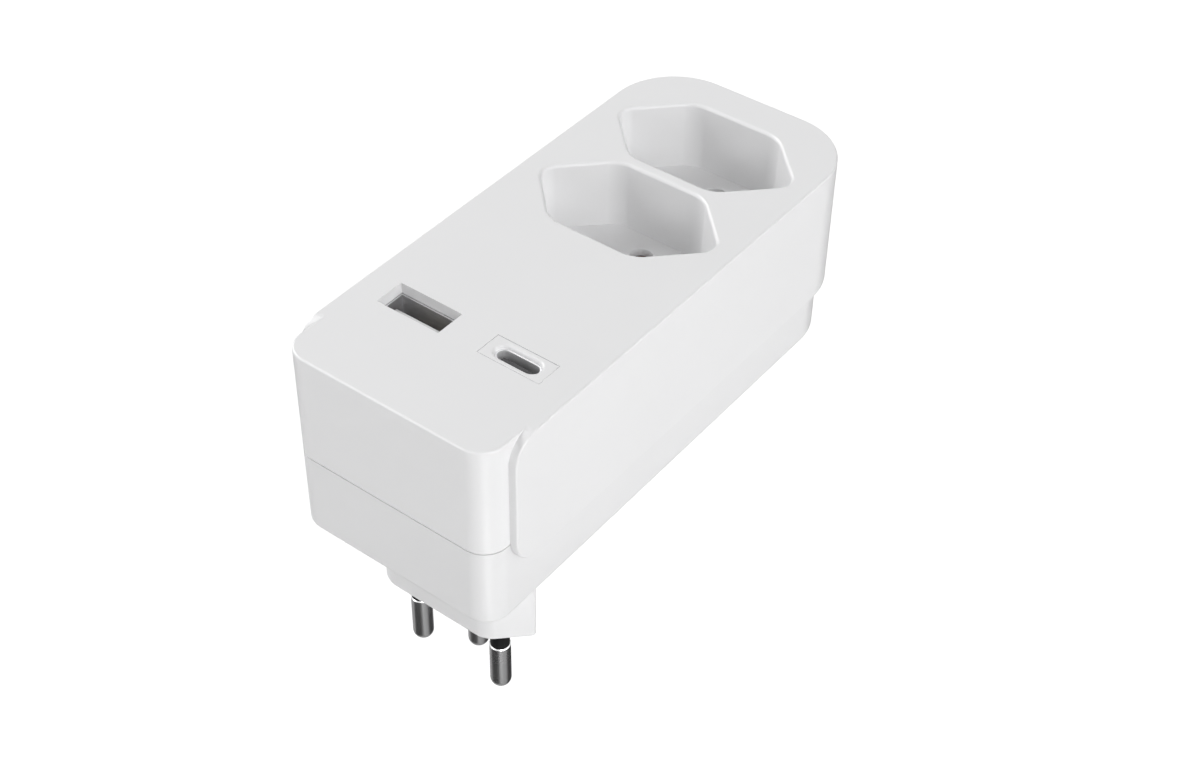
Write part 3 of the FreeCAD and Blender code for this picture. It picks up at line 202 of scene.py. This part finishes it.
# the finishes: two close colours, a roughness range and a fine relief each
finishes = {
    "shell_plastic": {
        "color": (0.80, 0.80, 0.805), "second": (0.79, 0.79, 0.795), "rough": (0.30, 0.36),
        "patch": 45, "grain": 1400, "relief": 0.05},
    # a slightly darker copy of the shell plastic: painted shade for the lower shell, which sits
    # below the panel's step
    "base_plastic": {
        "color": (0.782, 0.782, 0.787), "second": (0.772, 0.772, 0.777), "rough": (0.30, 0.36),
        "patch": 45, "grain": 1400, "relief": 0.05},
    "insert_plastic": {
        "color": (0.79, 0.79, 0.795), "second": (0.775, 0.775, 0.78), "rough": (0.32, 0.4),
        "patch": 90, "grain": 1800, "relief": 0.05},
    "sleeve_plastic": {
        "color": (0.008, 0.008, 0.009), "second": (0.013, 0.013, 0.013), "rough": (0.35, 0.5),
        "gloss": 0.1, "patch": 300, "grain": 2500, "relief": 0.1},
    "pin_metal": {
        "color": (0.74, 0.74, 0.745), "second": (0.73, 0.73, 0.735), "rough": (0.26, 0.285),
        "metal": 1.0, "patch": 60, "grain": 1800, "relief": 0.02},
    "brass_strip": {
        "color": (0.32, 0.085, 0.055), "second": (0.23, 0.06, 0.04), "rough": (0.35, 0.5),
        "metal": 1.0, "patch": 200, "grain": 1500, "relief": 0.1},
    "carrier_plastic": {
        "color": (0.6, 0.58, 0.53), "second": (0.55, 0.53, 0.49), "rough": (0.5, 0.65),
        "patch": 80, "grain": 1500, "relief": 0.12},
    "screw_steel": {
        "color": (0.42, 0.43, 0.45), "second": (0.34, 0.35, 0.37), "rough": (0.25, 0.4),
        "metal": 1.0, "patch": 300, "grain": 2500, "relief": 0.12},
    "board_laminate": {
        "color": (0.02, 0.11, 0.04), "second": (0.03, 0.15, 0.06), "rough": (0.3, 0.4),
        "patch": 150, "grain": 2600, "relief": 0.15, "stretch": (4, 1, 1)},
    "port_steel": {
        "color": (0.66, 0.66, 0.67), "second": (0.6, 0.6, 0.61), "rough": (0.42, 0.52),
        "metal": 1.0, "patch": 250, "grain": 2000, "relief": 0.08, "stretch": (1, 1, 6)},
    "slim_steel": {
        "color": (0.8, 0.8, 0.81), "second": (0.76, 0.76, 0.77), "rough": (0.5, 0.6),
        "metal": 1.0, "patch": 250, "grain": 2000, "relief": 0.05},
    "port_plastic": {
        "color": (0.66, 0.66, 0.665), "second": (0.62, 0.62, 0.625), "rough": (0.4, 0.5),
        "patch": 300, "grain": 2500, "relief": 0.08},
    "blade_plastic": {
        "color": (0.03, 0.03, 0.032), "second": (0.04, 0.04, 0.042), "rough": (0.4, 0.5),
        "patch": 300, "grain": 2500, "relief": 0.08},
    "contact_plating": {
        "color": (0.66, 0.56, 0.38), "second": (0.6, 0.5, 0.33), "rough": (0.2, 0.3),
        "metal": 1.0, "patch": 500, "grain": 3000, "relief": 0.05},
    "ferrite": {
        "color": (0.03, 0.03, 0.032), "second": (0.05, 0.05, 0.052), "rough": (0.6, 0.75),
        "patch": 400, "grain": 2500, "relief": 0.3},
    "winding_tape": {
        "color": (0.7, 0.45, 0.04), "second": (0.62, 0.4, 0.035), "rough": (0.25, 0.35),
        "patch": 150, "grain": 900, "relief": 0.2, "stretch": (1, 1, 8)},
    "can_sleeve": {
        "color": (0.01, 0.015, 0.04), "second": (0.015, 0.02, 0.05), "rough": (0.25, 0.35),
        "patch": 200, "grain": 1200, "relief": 0.1},
    "disc_lacquer": {
        "color": (0.03, 0.11, 0.35), "second": (0.04, 0.14, 0.4), "rough": (0.3, 0.45),
        "patch": 300, "grain": 900, "relief": 0.3},
    "resistor_lacquer": {
        "color": (0.11, 0.2, 0.13), "second": (0.13, 0.23, 0.15), "rough": (0.4, 0.5),
        "patch": 300, "grain": 1200, "relief": 0.2},
    "chip_epoxy": {
        "color": (0.012, 0.012, 0.012), "second": (0.02, 0.02, 0.02), "rough": (0.5, 0.65),
        "patch": 400, "grain": 3000, "relief": 0.2},
    "lead_red": {
        "color": (0.3, 0.012, 0.01), "second": (0.35, 0.015, 0.012), "rough": (0.45, 0.55),
        "patch": 200, "grain": 1500, "relief": 0.1},
    "lead_blue": {
        "color": (0.012, 0.04, 0.25), "second": (0.015, 0.05, 0.29), "rough": (0.45, 0.55),
        "patch": 200, "grain": 1500, "relief": 0.1},
}
reliefDepth = 0.02  # mm, between the lowest and the highest grain


def startMaterial(name, baseColor, roughness, metallic=0.0):
    material = bpy.data.materials.new(name)
    material.use_nodes = True
    shader = material.node_tree.nodes["Principled BSDF"]
    shader.inputs["Base Color"].default_value = (*baseColor, 1)
    shader.inputs["Roughness"].default_value = roughness
    shader.inputs["Metallic"].default_value = metallic
    return material


def addNoise(material, scale, detail, stretch):
    tree = material.node_tree
    noise = tree.nodes.new("ShaderNodeTexNoise")
    noise.inputs["Scale"].default_value = scale
    noise.inputs["Detail"].default_value = detail
    place = tree.nodes.new("ShaderNodeTexCoord")
    mapping = tree.nodes.new("ShaderNodeMapping")
    mapping.inputs["Scale"].default_value = stretch
    tree.links.new(place.outputs["Object"], mapping.inputs["Vector"])
    tree.links.new(mapping.outputs["Vector"], noise.inputs["Vector"])
    return noise


def varyColor(material, noise, first, second):
    tree = material.node_tree
    ramp = tree.nodes.new("ShaderNodeValToRGB")
    start, end = ramp.color_ramp.elements
    start.position, start.color = 0.35, (*first, 1)
    end.position, end.color = 0.65, (*second, 1)
    tree.links.new(noise.outputs["Fac"], ramp.inputs["Fac"])
    shader = tree.nodes["Principled BSDF"]
    tree.links.new(ramp.outputs["Color"], shader.inputs["Base Color"])


def varyRoughness(material, noise, low, high):
    tree = material.node_tree
    spread = tree.nodes.new("ShaderNodeMapRange")
    spread.inputs["From Min"].default_value = 0.3
    spread.inputs["From Max"].default_value = 0.7
    spread.inputs["To Min"].default_value = low
    spread.inputs["To Max"].default_value = high
    tree.links.new(noise.outputs["Fac"], spread.inputs["Value"])
    shader = tree.nodes["Principled BSDF"]
    tree.links.new(spread.outputs["Result"], shader.inputs["Roughness"])


def addRelief(material, noise, strength):
    tree = material.node_tree
    bump = tree.nodes.new("ShaderNodeBump")
    bump.inputs["Strength"].default_value = strength
    bump.inputs["Distance"].default_value = reliefDepth * mm
    tree.links.new(noise.outputs["Fac"], bump.inputs["Height"])
    shader = tree.nodes["Principled BSDF"]
    tree.links.new(bump.outputs["Normal"], shader.inputs["Normal"])


def makeFinish(name, look):
    material = startMaterial(name, look["color"], look["rough"][0], look.get("metal", 0.0))
    if "gloss" in look:
        shader = material.node_tree.nodes["Principled BSDF"]
        shader.inputs["Specular IOR Level"].default_value = look["gloss"]
    stretch = look.get("stretch", (1, 1, 1))
    patch = addNoise(material, look["patch"], 4.0, stretch)
    varyColor(material, patch, look["color"], look["second"])
    varyRoughness(material, patch, *look["rough"])
    grain = addNoise(material, look["grain"], 2.0, stretch)
    addRelief(material, grain, look["relief"])
    return material


def finishPiece(piece, finish, node):
    piece.data.materials.clear()
    piece.data.materials.append(materials[finish])
    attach(piece, "root")
    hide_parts(node)


materials = {name: makeFinish(name, look) for name, look in finishes.items()}
slotOf = {part["node"]: part["material_slot"] for part in frame["record"]["subparts"]}
for nodeName, nodeObject in frame["nodes"].items():
    finish = "blade_plastic" if nodeName == "usb_c_tongue" else slotOf[nodeName]
    nodeObject.data.materials.clear()
    nodeObject.data.materials.append(materials[finish])
print("finishes made", len(materials))


# places that several pieces share, in mm
layout = {
    "pinHalf": 9.5, "earthOffset": 5.0, "sockets": (49.0, 73.0), "port": (10.6, 5.2),
    "screws": ((-16, -11), (16, -11), (-14.5, 83.6), (14.5, 83.6)),
}


def livePlaces(y=0.0):
    return [(-layout["pinHalf"], y), (layout["pinHalf"], y)]


def earthPlace(y=0.0):
    return (0, y + layout["earthOffset"])


# upper shell
cover = {
    "halfBlock": 21.8, "front": -16.6, "blockBack": 5.0, "baseFar": 90.2, "parting": 35.3,
    "top": 57.8, "frontRound": 4.8, "baseFarRound": 12.0, "edgeRound": 0.38,
    "halfPanel": 23.4, "panelFront": -11.2, "far": 91.8, "skirtBottom": 30.2,
    "panelRound": 5.2, "farRound": 13.6, "sideEnd": 70.0, "seatGap": 0.1, "seatFront": -20.0,
    "wall": 1.8, "roofUnder": 55.6, "low": 20.0, "over": 60.0,
    "rebateWall": 0.9, "rebateTop": 36.9,
    "recessFlat": 10.7, "recessReach": 19.9, "recessFloor": 43.8, "recessRound": 5.5,
    "recessTip": 3.0, "draft": 0.293, "rimRound": 0.7, "rimReach": 20.5, "rimSide": 11.0,
    "cupWall": 1.6, "cupOver": 0.8,
    "holeRadius": 2.1, "holeBevel": 0.45, "holeSpan": (40, 46),
    "window": (13.5, 6.2), "slimWindow": (12.96, 5.56), "windowSpan": (50, 60),
    "postRadius": 2.8, "pilotRadius": 1.45, "pilotSpan": (34, 44.35),
}


def makeRecessCutter(y):
    reach = cover["recessReach"]
    flat = cover["recessFlat"]
    piece = addHexagon("recessCutter", y, flat, flat, reach, cover["recessFloor"],
                       cover["top"] + 1)
    obtuse = cover["recessRound"] * math.tan(math.radians(22.5))
    roundEdges(piece, obtuse, 8,
               lambda a, b: isUpright(a, b) and abs(abs(a.y - y) - flat) < slack)
    roundEdges(piece, cover["recessTip"], 12,
               lambda a, b: isUpright(a, b) and abs(abs(a.x) - reach) < slack)
    # the walls lean in towards the floor
    pickFaces(piece, lambda middle, normal: normal.z < -0.9)
    shrink = (1 - cover["draft"] / reach, 1 - cover["draft"] / flat, 1)
    bpy.ops.transform.resize(value=shrink, center_override=(0, y * mm, 0))
    bpy.ops.object.mode_set(mode="OBJECT")
    return piece


def makeCoverHollow():
    wall = cover["wall"]
    inside = cover["halfBlock"] - wall
    hollow = roundedBlock("coverHollow", inside, cover["front"] + wall, cover["baseFar"] - wall,
                          cover["low"], cover["roofUnder"], cover["frontRound"] - wall,
                          cover["baseFarRound"] - wall, 8)
    # the cups round the recesses and the screw posts stay solid
    reach = inside + cover["cupOver"]
    tip = cover["recessReach"] + cover["cupWall"] * math.sqrt(2)
    flat = cover["recessFlat"] + cover["cupWall"]
    bottom = cover["recessFloor"] - cover["cupWall"]
    for y in layout["sockets"]:
        cup = addBlock("cup", (-reach, y - flat, bottom), (reach, y + flat, cover["over"]))
        pointEnds(cup, tip, y, bottom)
        combine(hollow, [cup], "DIFFERENCE")
    posts = addRounds("post", layout["screws"], cover["parting"], cover["over"],
                      cover["postRadius"], 32)
    combine(hollow, posts, "DIFFERENCE")
    return hollow


def makePanel():
    top = cover["top"]
    half = cover["halfPanel"]
    roundStart = cover["far"] - cover["farRound"] - slack
    panel = addBlock("panel", (-half, cover["panelFront"], cover["skirtBottom"]),
                     (half, cover["far"], top))
    roundEdges(panel, cover["panelRound"], 14, lambda a, b:
               atLevel(a, b, 1, cover["panelFront"]) and abs(a.z - b.z) < slack)
    roundEdges(panel, cover["farRound"], 24, lambda a, b:
               isUpright(a, b) and a.y > cover["far"] - slack)

    def isRim(a, b):
        onSide = a.x * b.x > 0 and all(abs(abs(end.x) - half) < slack for end in (a, b))
        flatEdge = atLevel(a, b, 2, top) or atLevel(a, b, 2, cover["skirtBottom"])
        roundFar = flatEdge and min(a.y, b.y) > roundStart
        return (onSide and not (isUpright(a, b) and a.y > cover["sideEnd"])) or roundFar
    roundEdges(panel, cover["edgeRound"], 5, isRim)
    gap = cover["seatGap"]
    seat = roundedBlock("seat", cover["halfBlock"] + gap, cover["seatFront"],
                        cover["baseFar"] + gap, cover["low"], cover["parting"], 0,
                        cover["baseFarRound"] + gap)
    return combine(panel, [seat], "DIFFERENCE")


def makeCover():
    top = cover["top"]
    block = roundedBlock("top_cover_shell", cover["halfBlock"], cover["front"],
                         cover["blockBack"], cover["parting"], top, cover["frontRound"], 0)
    roundEdges(block, cover["edgeRound"], 5, lambda a, b:
               atLevel(a, b, 2, top) and min(a.y, b.y) < cover["blockBack"] - slack)
    combine(block, [makePanel()], "UNION")
    tidyMesh(block)
    combine(block, [makeCoverHollow()], "DIFFERENCE")
    thin = cover["rebateWall"]
    rebate = roundedBlock("rebate", cover["halfBlock"] - thin, cover["front"] + thin,
                          cover["baseFar"] - thin, cover["low"], cover["rebateTop"],
                          cover["frontRound"] - thin, cover["baseFarRound"] - thin, 8)
    combine(block, [rebate], "DIFFERENCE")
    for y in layout["sockets"]:
        combine(block, [makeRecessCutter(y)], "DIFFERENCE")
    tidyMesh(block)
    roundEdges(block, cover["rimRound"], 7, lambda a, b:
               atLevel(a, b, 2, top) and max(abs(a.x), abs(b.x)) < cover["rimReach"]
               and any(abs((a.y + b.y) / 2 - y) < cover["rimSide"] for y in layout["sockets"]))
    places = [place for y in layout["sockets"] for place in livePlaces(y) + [earthPlace(y)]]
    holes = addRounds("hole", places, *cover["holeSpan"], cover["holeRadius"], 40)
    combine(block, holes, "DIFFERENCE")
    roundEdges(block, cover["holeBevel"], 2,
               holeEdges(places, cover["holeRadius"], cover["recessFloor"]))
    x, y = layout["port"]
    low, high = cover["windowSpan"]
    for middle, size in ((-x, cover["window"]), (x, cover["slimWindow"])):
        wide, deep = size[0] / 2, size[1] / 2
        window = addBlock("window", (middle - wide, y - deep, low),
                          (middle + wide, y + deep, high))
        combine(block, [window], "DIFFERENCE")
    pilots = addRounds("pilot", layout["screws"], *cover["pilotSpan"], cover["pilotRadius"], 32)
    combine(block, pilots, "DIFFERENCE")
    return smoothSurfaces(block)


coverPiece = makeCover()
finishPiece(coverPiece, "shell_plastic", "top_cover")
print("upper shell", len(coverPiece.data.polygons))


# lower shell with the plug boss
base = {
    "half": 21.8, "front": -16.6, "far": 90.2, "low": 18.3, "high": 35.3, "wall": 1.8,
    "floor": 20.1, "over": 45.0, "frontRound": 4.8, "farRound": 12.0, "bottomRound": 1.0,
    "lip": 0.8, "lipHigh": 1.5, "gap": 0.26, "gapDepth": 0.9,
    "bossFront": 6.6, "bossBack": 9.2, "bossReach": 18.1, "bossRound": 4.7, "tipRound": 0.8,
    "bossEdge": 0.4, "bossWall": 1.6, "bossFloor": 3.0,
    "sleeveHole": 1.65, "sleeveLead": 0.22, "stemHole": 1.55, "stemLead": 0.5,
    "pinHoleSpan": (-1, 4), "columnLow": 19.0, "columnRadius": 4.0, "seat": 25.3,
    "headHole": 2.8, "shankHole": 1.45, "screwLow": 17.0,
    "studs": ((-16.2, -4.8), (16.2, -4.8), (-16.2, 28.4), (16.2, 28.4)), "studRadius": 1.8,
    "studTop": 40.9,
}


def insetBase(name, inset, low, high, steps=12):
    # a block that follows the lower shell's outline, this far inside it
    return roundedBlock(name, base["half"] - inset, base["front"] + inset, base["far"] - inset,
                        low, high, base["frontRound"] - inset, base["farRound"] - inset, steps)


def cutJointLine(block):
    # the joint between the shells stays open all round the rim
    low = base["high"] - base["gap"]
    ring = insetBase("ring", -1, low, base["over"])
    core = insetBase("core", base["gapDepth"], low - 1, base["over"] + 1)
    combine(ring, [core], "DIFFERENCE")
    combine(block, [ring], "DIFFERENCE")


def makeBoss():
    boss = addHexagon("boss", 0, base["bossFront"], base["bossBack"], base["bossReach"], 0,
                      base["low"] + 0.5)
    obtuse = base["bossRound"] * math.tan(math.radians(22.5))
    roundEdges(boss, obtuse, 8,
               lambda a, b: isUpright(a, b) and abs(a.y) > base["bossFront"] - 1)
    roundEdges(boss, base["tipRound"], 5, lambda a, b: isUpright(a, b) and abs(a.y) < 0.1)
    roundEdges(boss, base["bossEdge"], 4, lambda a, b: atLevel(a, b, 2, 0))
    return boss


def hollowBase(block):
    thin = base["bossWall"]
    hollow = insetBase("hollow", base["wall"], base["floor"], base["over"], 8)
    bossHollow = addHexagon("bossHollow", 0, base["bossFront"] - thin, base["bossBack"] - thin,
                            base["bossReach"] - thin * math.sqrt(2), base["bossFloor"],
                            base["floor"] + 1)
    columns = addRounds("column", layout["screws"], base["columnLow"], base["high"],
                        base["columnRadius"], 40)
    studs = addRounds("stud", base["studs"], base["columnLow"], base["studTop"],
                      base["studRadius"], 24)
    combine(hollow, columns + studs, "DIFFERENCE")
    combine(block, [hollow, bossHollow], "DIFFERENCE")
    # the studs stand higher than the rim, so they are also added by themselves
    raised = addRounds("stud", base["studs"], base["columnLow"] + 1, base["studTop"],
                       base["studRadius"], 24)
    combine(block, raised, "UNION")


def makeBase():
    block = insetBase("base_shell_body", 0, base["low"], base["high"])
    roundEdges(block, base["bottomRound"], 6, lambda a, b: atLevel(a, b, 2, base["low"]))
    cutJointLine(block)
    combine(block, [makeBoss()], "UNION")
    lip = insetBase("lip", base["wall"] - base["lip"], base["high"] - 1,
                    base["high"] + base["lipHigh"], 8)
    combine(block, [lip], "UNION")
    hollowBase(block)
    low = base["screwLow"]
    cuts = addRounds("headHole", layout["screws"], low, base["seat"], base["headHole"], 40)
    cuts += addRounds("shankHole", layout["screws"], low, base["over"], base["shankHole"], 32)
    cuts += addRounds("sleeveHole", livePlaces(), *base["pinHoleSpan"], base["sleeveHole"], 40)
    cuts += addRounds("stemHole", [earthPlace()], *base["pinHoleSpan"], base["stemHole"], 40)
    combine(block, cuts, "DIFFERENCE")
    tidyMesh(block)
    roundEdges(block, base["sleeveLead"], 1, holeEdges(livePlaces(), base["sleeveHole"], 0))
    roundEdges(block, base["stemLead"], 2, holeEdges([earthPlace()], base["stemHole"], 0))
    return smoothSurfaces(block)


basePiece = makeBase()
# the lower shell gets the darker plastic, painted shade below the panel's step
finishPiece(basePiece, "base_plastic", "base_shell")
print("lower shell", len(basePiece.data.polygons))


# pins and their sleeves
pins = {
    "radius": 2.0, "length": 19.0, "tipRound": 1.9, "neck": 7.8, "shoulder": 0.2,
    "neckRadius": 1.82, "sleeveStem": 1.6, "core": 1.25, "stem": 1.5, "bossFloor": 3.0,
    "footTop": 3.8, "rivetTop": 5.0, "rivetRound": 0.6, "sides": 72,
}


def makePin(name, x, y, neck):
    body = -pins["neck"] - pins["shoulder"] if neck else 0.0
    piece = addRound(name, x, y, -pins["length"], body, pins["radius"], pins["sides"])
    roundEdges(piece, pins["tipRound"], 12, lambda a, b: atLevel(a, b, 2, -pins["length"]))
    if neck:
        # the cap is extruded and drawn in to make the slanted shoulder
        pickFaces(piece, lambda middle, normal: normal.z > 0.9 and middle.z > body - slack)
        bpy.ops.mesh.extrude_region_move(
            TRANSFORM_OT_translate={"value": (0, 0, pins["shoulder"] * mm)})
        factor = pins["neckRadius"] / pins["radius"]
        bpy.ops.transform.resize(value=(factor, factor, 1), center_override=(x * mm, y * mm, 0))
        bpy.ops.object.mode_set(mode="OBJECT")
    head = addRound("head", x, y, pins["footTop"], pins["rivetTop"], pins["radius"])
    roundEdges(head, pins["rivetRound"], 4, lambda a, b: atLevel(a, b, 2, pins["rivetTop"]))
    rest = [addRound("core", x, y, body - 1, pins["footTop"] + 0.5, pins["core"]), head]
    if not neck:
        rest.append(addRound("stem", x, y, -1, pins["bossFloor"], pins["stem"]))
    combine(piece, rest, "UNION")
    return smoothSurfaces(piece, 40)


def makeSleeve(name, x, y):
    piece = addRound(name, x, y, -pins["neck"], 0, pins["neckRadius"], pins["sides"])
    stem = addRound("stem", x, y, -1, pins["bossFloor"], pins["sleeveStem"], pins["sides"])
    combine(piece, [stem], "UNION")
    core = addRound("core", x, y, -pins["neck"] - 1, pins["bossFloor"] + 1, pins["core"])
    combine(piece, [core], "DIFFERENCE")
    return smoothSurfaces(piece, 40)


for label, (x, y) in zip(("line", "neutral"), livePlaces()):
    pinPiece = makePin(label + "_pin_turned", x, y, True)
    finishPiece(pinPiece, "pin_metal", label + "_pin")
    sleevePiece = makeSleeve(label + "_neck", x, y)
    finishPiece(sleevePiece, "sleeve_plastic", label + "_pin_sleeve")
earthPiece = makePin("earth_pin_turned", *earthPlace(), False)
finishPiece(earthPiece, "pin_metal", "earth_pin")
print("pins and sleeves")


# insert and steel can of the slim port
slim = {
    "face": (12.8, 5.4), "top": 57.8, "roofUnder": 55.6, "flange": 0.9, "flangeHigh": 1.2,
    "faceRound": 0.08, "slot": (9.0, 3.2), "slotRound": 0.6, "slotSpan": (50, 60),
    "pickMargin": 0.3,
    "can": (8.9, 3.12), "canWall": 0.28, "mouth": 57.0, "board": 42.5,
}


def addSlab(name, wide, deep, low, high):
    # a block centred on the slim port
    x, y = layout["port"]
    return addBlock(name, (x - wide / 2, y - deep / 2, low), (x + wide / 2, y + deep / 2, high))


def addStadium(name, wide, deep, low, high):
    piece = addSlab(name, wide, deep, low, high)
    nearlyHalf = 0.4995  # leaves a narrow flat, so that the bevels don't cross
    roundEdges(piece, deep * nearlyHalf, 16, isUpright)
    return piece


def makeInsert():
    x, y = layout["port"]
    wide, deep = slim["face"]
    low = slim["roofUnder"] - slim["flangeHigh"]
    piece = addSlab("slim_port_insert", wide, deep, low, slim["top"])
    roundEdges(piece, slim["faceRound"], 2, lambda a, b: atLevel(a, b, 2, slim["top"]))
    grow = slim["flange"] * 2
    flange = addSlab("flange", wide + grow, deep + grow, low, slim["roofUnder"])
    combine(piece, [flange], "UNION")
    combine(piece, [addStadium("slot", *slim["slot"], *slim["slotSpan"])], "DIFFERENCE")
    tidyMesh(piece)
    reachX, reachY = (size / 2 + slim["pickMargin"] for size in slim["slot"])
    roundEdges(piece, slim["slotRound"], 6, lambda a, b:
               atLevel(a, b, 2, slim["top"]) and max(abs(a.y - y), abs(b.y - y)) < reachY
               and max(abs(a.x - x), abs(b.x - x)) < reachX)
    return smoothSurfaces(piece)


def makeCan():
    wide, deep = slim["can"]
    outer = addStadium("slim_port_shell", wide, deep, slim["board"], slim["mouth"])
    walls = slim["canWall"] * 2
    inner = addStadium("inner", wide - walls, deep - walls, slim["board"] - 1, slim["mouth"] + 1)
    combine(outer, [inner], "DIFFERENCE")
    return smoothSurfaces(outer)


finishPiece(makeInsert(), "insert_plastic", "usb_c_insert")
finishPiece(makeCan(), "slim_steel", "usb_c_shell")
print("slim port")


# screws in the underside
screws = {
    "headLow": 23.3, "seat": 25.3, "headRadius": 2.6, "headRound": 0.55, "shank": 1.4,
    "end": 44.3, "endRound": 0.5, "crossWide": 0.7, "crossLong": 2.86, "crossDeep": 1.2,
}


def makeScrew(x, y):
    bottom = screws["headLow"]
    piece = addRound("housing_screw_set", x, y, bottom, screws["seat"], screws["headRadius"], 40)
    roundEdges(piece, screws["headRound"], 5, lambda a, b: atLevel(a, b, 2, bottom))
    shank = addRound("shank", x, y, screws["seat"] - 0.5, screws["end"], screws["shank"], 24)
    roundEdges(shank, screws["endRound"], 2, lambda a, b: atLevel(a, b, 2, screws["end"]))
    combine(piece, [shank], "UNION")
    long, wide = screws["crossLong"] / 2, screws["crossWide"] / 2
    top = bottom + screws["crossDeep"]
    arms = [addBlock("arm", (x - halfX, y - halfY, bottom - 1), (x + halfX, y + halfY, top))
            for halfX, halfY in ((long, wide), (wide, long))]
    combine(piece, arms, "DIFFERENCE")
    return smoothSurfaces(piece)


screwPieces = [makeScrew(x, y) for x, y in layout["screws"]]
clearSelection()
for screwPiece in screwPieces:
    screwPiece.select_set(True)
bpy.context.view_layer.objects.active = screwPieces[0]
bpy.ops.object.join()
finishPiece(screwPieces[0], "screw_steel", "housing_screws")
print("screws")


# floor, light and camera
stage = {
    "floorLevel": -110.0, "floorHalf": 4000.0, "floorColor": (0.8, 0.8, 0.8),
    # the camera sees this darker paper and a glow on it, so the lit floor is white
    "floorSeen": (0.35, 0.35, 0.35), "floorGlow": 0.76, "worldLight": 0.0,
    "lampAim": (0, 35, 30), "lampSize": 1111,
    "lamps": (
        # name, place in mm, watts
        ("rightFront", (1419, -784, 1177), 24.0),
        ("rightBack", (1419, 854, 1177), 7.8),
        ("rightLow", (1970, 35, 377), 10.1),
        ("frontLow", (-985, -1671, 377), 11.5),
        ("left", (-1638, 35, 1177), 33.0),
    ),
    "cards": (
        # cards below the part that only its gloss mirrors
        # name, place in mm, size in mm, turn in degrees, glow
        ("cardGrey", (0, 0, -108), (700, 700), 0, 0.34),
        ("cardLeft", (-18.7, -82, -105), (124, 74), -13, 0.01),
        ("cardRight", (50, 70, -105), (110, 74), -50, 0.01),
        ("cardBright", (128, -112, -104), (80, 64), -45, 3.0),
        ("cardBack", (-170, 215, -106), (600, 300), 42, 0.01),
    ),
    "camera": {"place": (163.92, -180.56, 267.64), "turn": (48.77018, -0.18713, 37.88468),
               "lens": 59.06, "shift": (0.02974, -0.01173)},
}


def mixByRay(tree, plain, seen, output):
    # what the camera and mirror rays see, against what lights the part
    path = tree.nodes.new("ShaderNodeLightPath")
    seenByRay = path.outputs["Is Camera Ray"]
    for ray in ("Is Glossy Ray", "Is Transmission Ray"):
        either = tree.nodes.new("ShaderNodeMath")
        either.operation = "MAXIMUM"
        tree.links.new(seenByRay, either.inputs[0])
        tree.links.new(path.outputs[ray], either.inputs[1])
        seenByRay = either.outputs["Value"]
    mix = tree.nodes.new("ShaderNodeMixShader")
    tree.links.new(seenByRay, mix.inputs["Fac"])
    tree.links.new(plain, mix.inputs[1])
    tree.links.new(seen, mix.inputs[2])
    tree.links.new(mix.outputs["Shader"], output)


def makeWorld():
    world = bpy.data.worlds.new("studio")
    bpy.context.scene.world = world
    world.use_nodes = True
    tree = world.node_tree
    light = tree.nodes["Background"]
    seen = tree.nodes.new("ShaderNodeBackground")
    for background, strength in ((light, stage["worldLight"]), (seen, 1.0)):
        background.inputs["Color"].default_value = (1, 1, 1, 1)
        background.inputs["Strength"].default_value = strength
    mixByRay(tree, light.outputs["Background"], seen.outputs["Background"],
             tree.nodes["World Output"].inputs["Surface"])


def makeFloor():
    clearSelection()
    bpy.ops.mesh.primitive_plane_add(size=stage["floorHalf"] * mm * 2,
                                     location=(0, 0, stage["floorLevel"] * mm))
    floor = bpy.context.object
    floor.name = "floor"
    material = startMaterial("floorPaper", stage["floorColor"], 0.9)
    tree = material.node_tree
    glow = tree.nodes.new("ShaderNodeEmission")
    glow.inputs["Strength"].default_value = stage["floorGlow"]
    paper = tree.nodes.new("ShaderNodeBsdfDiffuse")
    paper.inputs["Color"].default_value = (*stage["floorSeen"], 1)
    both = tree.nodes.new("ShaderNodeAddShader")
    tree.links.new(paper.outputs["BSDF"], both.inputs[0])
    tree.links.new(glow.outputs["Emission"], both.inputs[1])
    mixByRay(tree, tree.nodes["Principled BSDF"].outputs["BSDF"], both.outputs["Shader"],
             tree.nodes["Material Output"].inputs["Surface"])
    floor.data.materials.append(material)


def makeCards():
    for name, place, size, turn, glow in stage["cards"]:
        clearSelection()
        bpy.ops.mesh.primitive_plane_add(size=1, location=[value * mm for value in place],
                                         rotation=(0, 0, math.radians(turn)))
        card = bpy.context.object
        card.name = name
        card.scale = (size[0] * mm, size[1] * mm, 1)
        card.visible_camera = False
        card.visible_diffuse = False
        card.visible_shadow = False
        material = startMaterial(name + "Paper", (0, 0, 0), 1.0)
        shader = material.node_tree.nodes["Principled BSDF"]
        shader.inputs["Specular IOR Level"].default_value = 0
        shader.inputs["Emission Color"].default_value = (1, 1, 1, 1)
        shader.inputs["Emission Strength"].default_value = glow
        card.data.materials.append(material)


def makeLamps():
    for name, place, watts in stage["lamps"]:
        light = bpy.data.lights.new(name, "AREA")
        light.shape = "SQUARE"
        light.size = stage["lampSize"] * mm
        light.energy = watts
        lamp = bpy.data.objects.new(name, light)
        bpy.context.scene.collection.objects.link(lamp)
        lamp.location = Vector(place) * mm
        away = Vector(place) - Vector(stage["lampAim"])
        lamp.rotation_euler = away.to_track_quat("Z", "Y").to_euler()


def makeCamera():
    view = stage["camera"]
    data = bpy.data.cameras.new("photoCamera")
    data.sensor_width = 36
    data.sensor_fit = "HORIZONTAL"
    data.lens = view["lens"]
    data.shift_x, data.shift_y = view["shift"]
    data.clip_start = 0.01
    data.clip_end = 20
    camera = bpy.data.objects.new("photoCamera", data)
    bpy.context.scene.collection.objects.link(camera)
    camera.location = Vector(view["place"]) * mm
    camera.rotation_euler = [math.radians(angle) for angle in view["turn"]]
    bpy.context.scene.camera = camera


makeWorld()
makeFloor()
makeCards()
makeLamps()
makeCamera()
bpy.context.scene.view_settings.view_transform = "Standard"
print("stage set")
